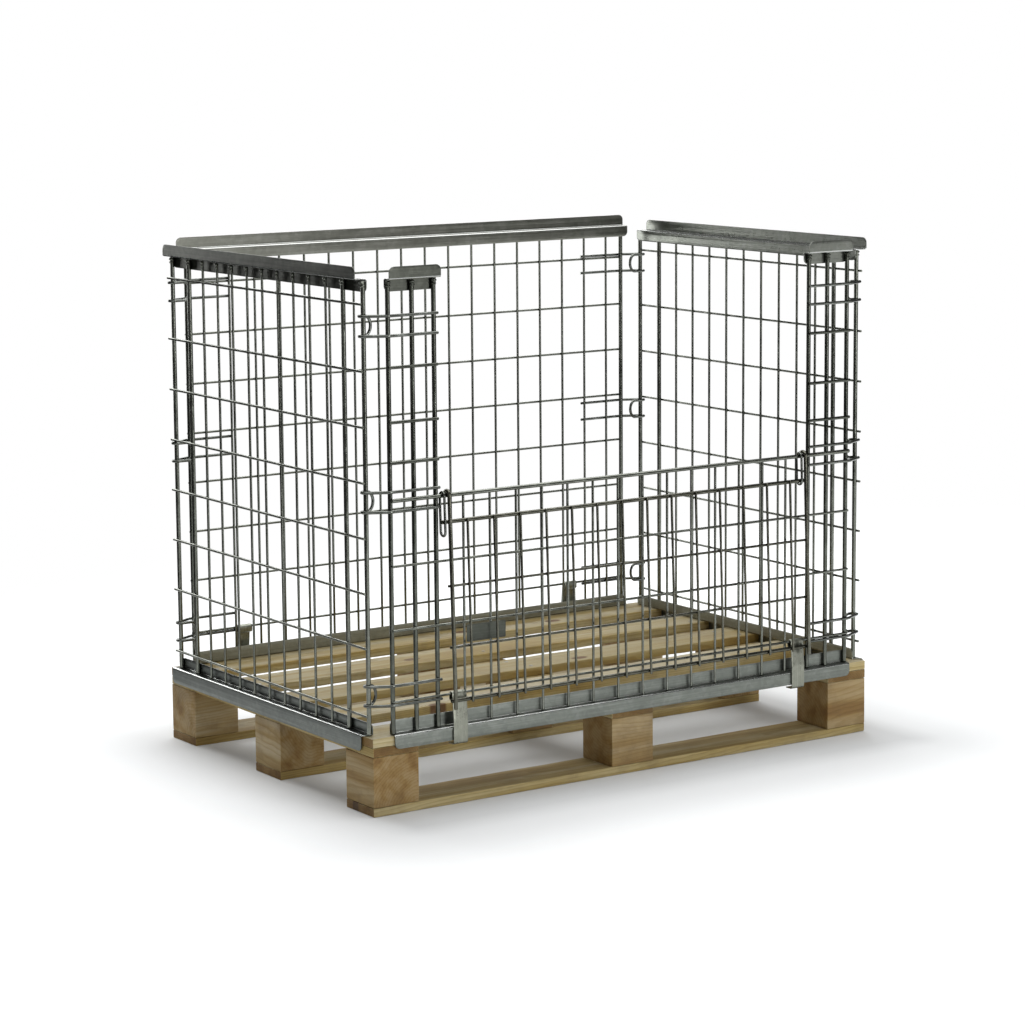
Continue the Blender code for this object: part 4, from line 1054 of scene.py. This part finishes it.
studio = {
    "floorRadius": 5.2, "floorDrop": 0.0006, "floorColour": "#cacccd", "palletMiddle": (0.03, -0.1, 0.0),
    "palletHalf": (0.6, 0.4, 0.0), "shadowGlowReach": 2.4,
    "shadowGlowStops": [(0.0, 0.08), (0.03, 0.24), (0.12, 0.45), (0.4, 0.6), (0.75, 0.85), (1.0, 0.95)],
    "fadeMiddle": (0.87, -1.25, 0.0), "fadeNear": 2.25, "fadeFar": 3.55,
    "overhead": {"place": (0.4, 0.0, 3.4), "aim": (0.0, 0.0, 0.2), "size": (4.4, 3.8), "power": 135.0},
    "back": {"place": (1.0, 4.4, 2.7), "aim": (0.0, 0.0, 0.4), "size": (5.6, 1.3), "power": 110.0},
    "left": {"place": (-3.4, -0.8, 1.0), "aim": (0.0, 0.0, 0.5), "size": (0.6, 1.8), "power": 2.0},
    "right": {"place": (0.9, -4.3, 1.1), "aim": (0.0, 0.0, 0.4), "size": (0.8, 2.0), "power": 37.0},
    "fill": {"place": (-2.2, -4.4, 0.9), "aim": (0.0, 0.0, 0.1), "size": (2.2, 1.2), "power": 7.0},
    "card": {"place": (-1.12, 3.1, 0.9), "aim": (0.58, 0.0, 1.0), "size": (0.95, 1.0), "power": 15.0},
    "corner": {"place": (3.3, -3.2, 0.75), "aim": (0.5, 0.0, 1.0), "size": (0.8, 0.8), "power": 4.5},
    "roomStops": [(0.40, 0.05), (0.5, 0.035), (0.56, 0.13), (0.7, 0.16), (0.9, 0.12)],
    "backdrop": {"way": (0.556, 0.831, 0.0), "sides": (0.74, 0.88), "heights": (0.06, 0.30), "tone": 0.3},
}


def addFloor():
    shape = bmesh.new()
    bmesh.ops.create_circle(shape, cap_ends=True, segments=96, radius=studio["floorRadius"])
    mesh = bpy.data.meshes.new("studio_floor")
    shape.to_mesh(mesh)
    shape.free()
    floor = bpy.data.objects.new("studio_floor", mesh)
    floor.location.z = -studio["floorDrop"]
    bpy.context.scene.collection.objects.link(floor)
    material, tree = newMaterial("white_studio_paper")
    paper = linear(studio["floorColour"])
    place = addNode(tree, "TexCoord").outputs["Object"]
    # Painted shadow: the paper glows more the further it is from the pallet's outline, which paints a
    # soft shadow round the pallet
    centred = addNode(tree, "VectorMath", {0: place, 1: studio["palletMiddle"]}, operation="SUBTRACT")
    folded = addNode(tree, "VectorMath", {0: centred.outputs[0]}, operation="ABSOLUTE")
    past = addNode(tree, "VectorMath", {0: folded.outputs[0], 1: studio["palletHalf"]},
            operation="SUBTRACT")
    outside = addNode(tree, "VectorMath", {0: past.outputs[0], 1: (0, 0, 0)}, operation="MAXIMUM")
    reach = addNode(tree, "VectorMath", {0: outside.outputs[0]}, operation="LENGTH")
    share = addNode(tree, "Math", {0: reach.outputs["Value"], 1: 1 / studio["shadowGlowReach"]},
            operation="MULTIPLY")
    shadowGlow = addNode(tree, "ValToRGB", {"Fac": share.outputs[0]}, stops=studio["shadowGlowStops"])
    shader = addNode(tree, "BsdfPrincipled", {"Base Color": paper, "Roughness": 0.9,
            "Emission Color": (1, 1, 1, 1), "Emission Strength": shadowGlow.outputs[0]})
    # The paper thins out to nothing, so it has no edge against the white behind it
    shifted = addNode(tree, "VectorMath", {0: place, 1: studio["fadeMiddle"]}, operation="SUBTRACT")
    away = addNode(tree, "VectorMath", {0: shifted.outputs[0]}, operation="LENGTH")
    fade = addNode(tree, "MapRange", {"Value": away.outputs["Value"], "From Min": studio["fadeNear"],
            "From Max": studio["fadeFar"], "To Min": 0.0, "To Max": 1.0}, interpolation_type="SMOOTHSTEP")
    clear = addNode(tree, "BsdfTransparent")
    both = addNode(tree, "MixShader", {0: fade.outputs[0], 1: shader.outputs[0], 2: clear.outputs[0]})
    addNode(tree, "OutputMaterial", {"Surface": both.outputs[0]})
    mesh.materials.append(material)


def addSoftbox(name, look):
    light = bpy.data.lights.new(name, "AREA")
    light.shape = "RECTANGLE"
    light.size = look["size"][0]
    light.size_y = look["size"][1]
    light.energy = look["power"]
    box = bpy.data.objects.new(name, light)
    box.location = look["place"]
    box.visible_camera = False
    box.rotation_euler = (Vector(look["aim"]) - Vector(look["place"])).to_track_quat("-Z", "Y").to_euler()
    bpy.context.scene.collection.objects.link(box)


# The room is dim for reflections and white where the camera sees past the floor
def addRoom():
    world = bpy.data.worlds.new("studio_room")
    world.use_nodes = True
    tree = world.node_tree
    tree.nodes.clear()
    ways = addNode(tree, "TexCoord").outputs["Generated"]
    height = addNode(tree, "SeparateXYZ", {"Vector": ways}).outputs["Z"]
    shade = addNode(tree, "MapRange", {"Value": height, "From Min": -1.0, "From Max": 1.0})
    tone = addNode(tree, "ValToRGB", {"Fac": shade.outputs[0]}, stops=studio["roomStops"])
    # A lit white backdrop behind the part, as high as the top rails' reflections reach
    drop = studio["backdrop"]
    ahead = addNode(tree, "VectorMath", {0: ways, 1: drop["way"]}, operation="DOT_PRODUCT")
    across = addNode(tree, "MapRange", {"Value": ahead.outputs["Value"], "From Min": drop["sides"][0],
            "From Max": drop["sides"][1]}, interpolation_type="SMOOTHSTEP")
    below = addNode(tree, "MapRange", {"Value": height, "From Min": drop["heights"][0],
            "From Max": drop["heights"][1], "To Min": drop["tone"], "To Max": 0.0},
            interpolation_type="SMOOTHSTEP")
    lit = addNode(tree, "Math", {0: across.outputs[0], 1: below.outputs[0]}, operation="MULTIPLY")
    whole = addNode(tree, "VectorMath", {0: tone.outputs[0], 1: lit.outputs[0]}, operation="MAXIMUM")
    room = addNode(tree, "Background", {"Color": whole.outputs[0], "Strength": 1.0})
    white = addNode(tree, "Background", {"Color": (1, 1, 1, 1), "Strength": 1.0})
    path = addNode(tree, "LightPath").outputs["Is Camera Ray"]
    both = addNode(tree, "MixShader", {0: path, 1: room.outputs[0], 2: white.outputs[0]})
    addNode(tree, "OutputWorld", {"Surface": both.outputs[0]})
    bpy.context.scene.world = world


addFloor()
addRoom()
for name in ("overhead", "back", "left", "right", "fill", "card", "corner"):
    addSoftbox("softbox_" + name, studio[name])
bpy.context.scene.view_settings.view_transform = "Standard"
print("studio made")

# Camera: heading and pitch in degrees, roll clockwise, shifts as shares of the picture's width
cameraLook = {
    "place": (-3.4761, -5.1265, 1.4711), "heading": 34.053, "pitch": 8.2273, "roll": 0.4488,
    "lens": 106.706, "sensor": 36.0, "shift": (0.0, -0.05),
}
heading = math.radians(cameraLook["heading"])
pitch = math.radians(cameraLook["pitch"])
roll = math.radians(cameraLook["roll"])
ahead = Vector((math.sin(heading) * math.cos(pitch), math.cos(heading) * math.cos(pitch),
        -math.sin(pitch)))
level = Vector((math.cos(heading), -math.sin(heading), 0.0))
down = ahead.cross(level)
right = level * math.cos(roll) + down * math.sin(roll)
up = -(down * math.cos(roll) - level * math.sin(roll))
lens = bpy.data.cameras.new("studio_camera")
lens.lens = cameraLook["lens"]
lens.sensor_width = cameraLook["sensor"]
lens.shift_x = cameraLook["shift"][0]
lens.shift_y = cameraLook["shift"][1]
camera = bpy.data.objects.new("studio_camera", lens)
turned = Matrix((right, up, -ahead)).transposed().to_4x4()
camera.matrix_world = Matrix.Translation(cameraLook["place"]) @ turned
bpy.context.scene.collection.objects.link(camera)
bpy.context.scene.camera = camera
print("camera placed")
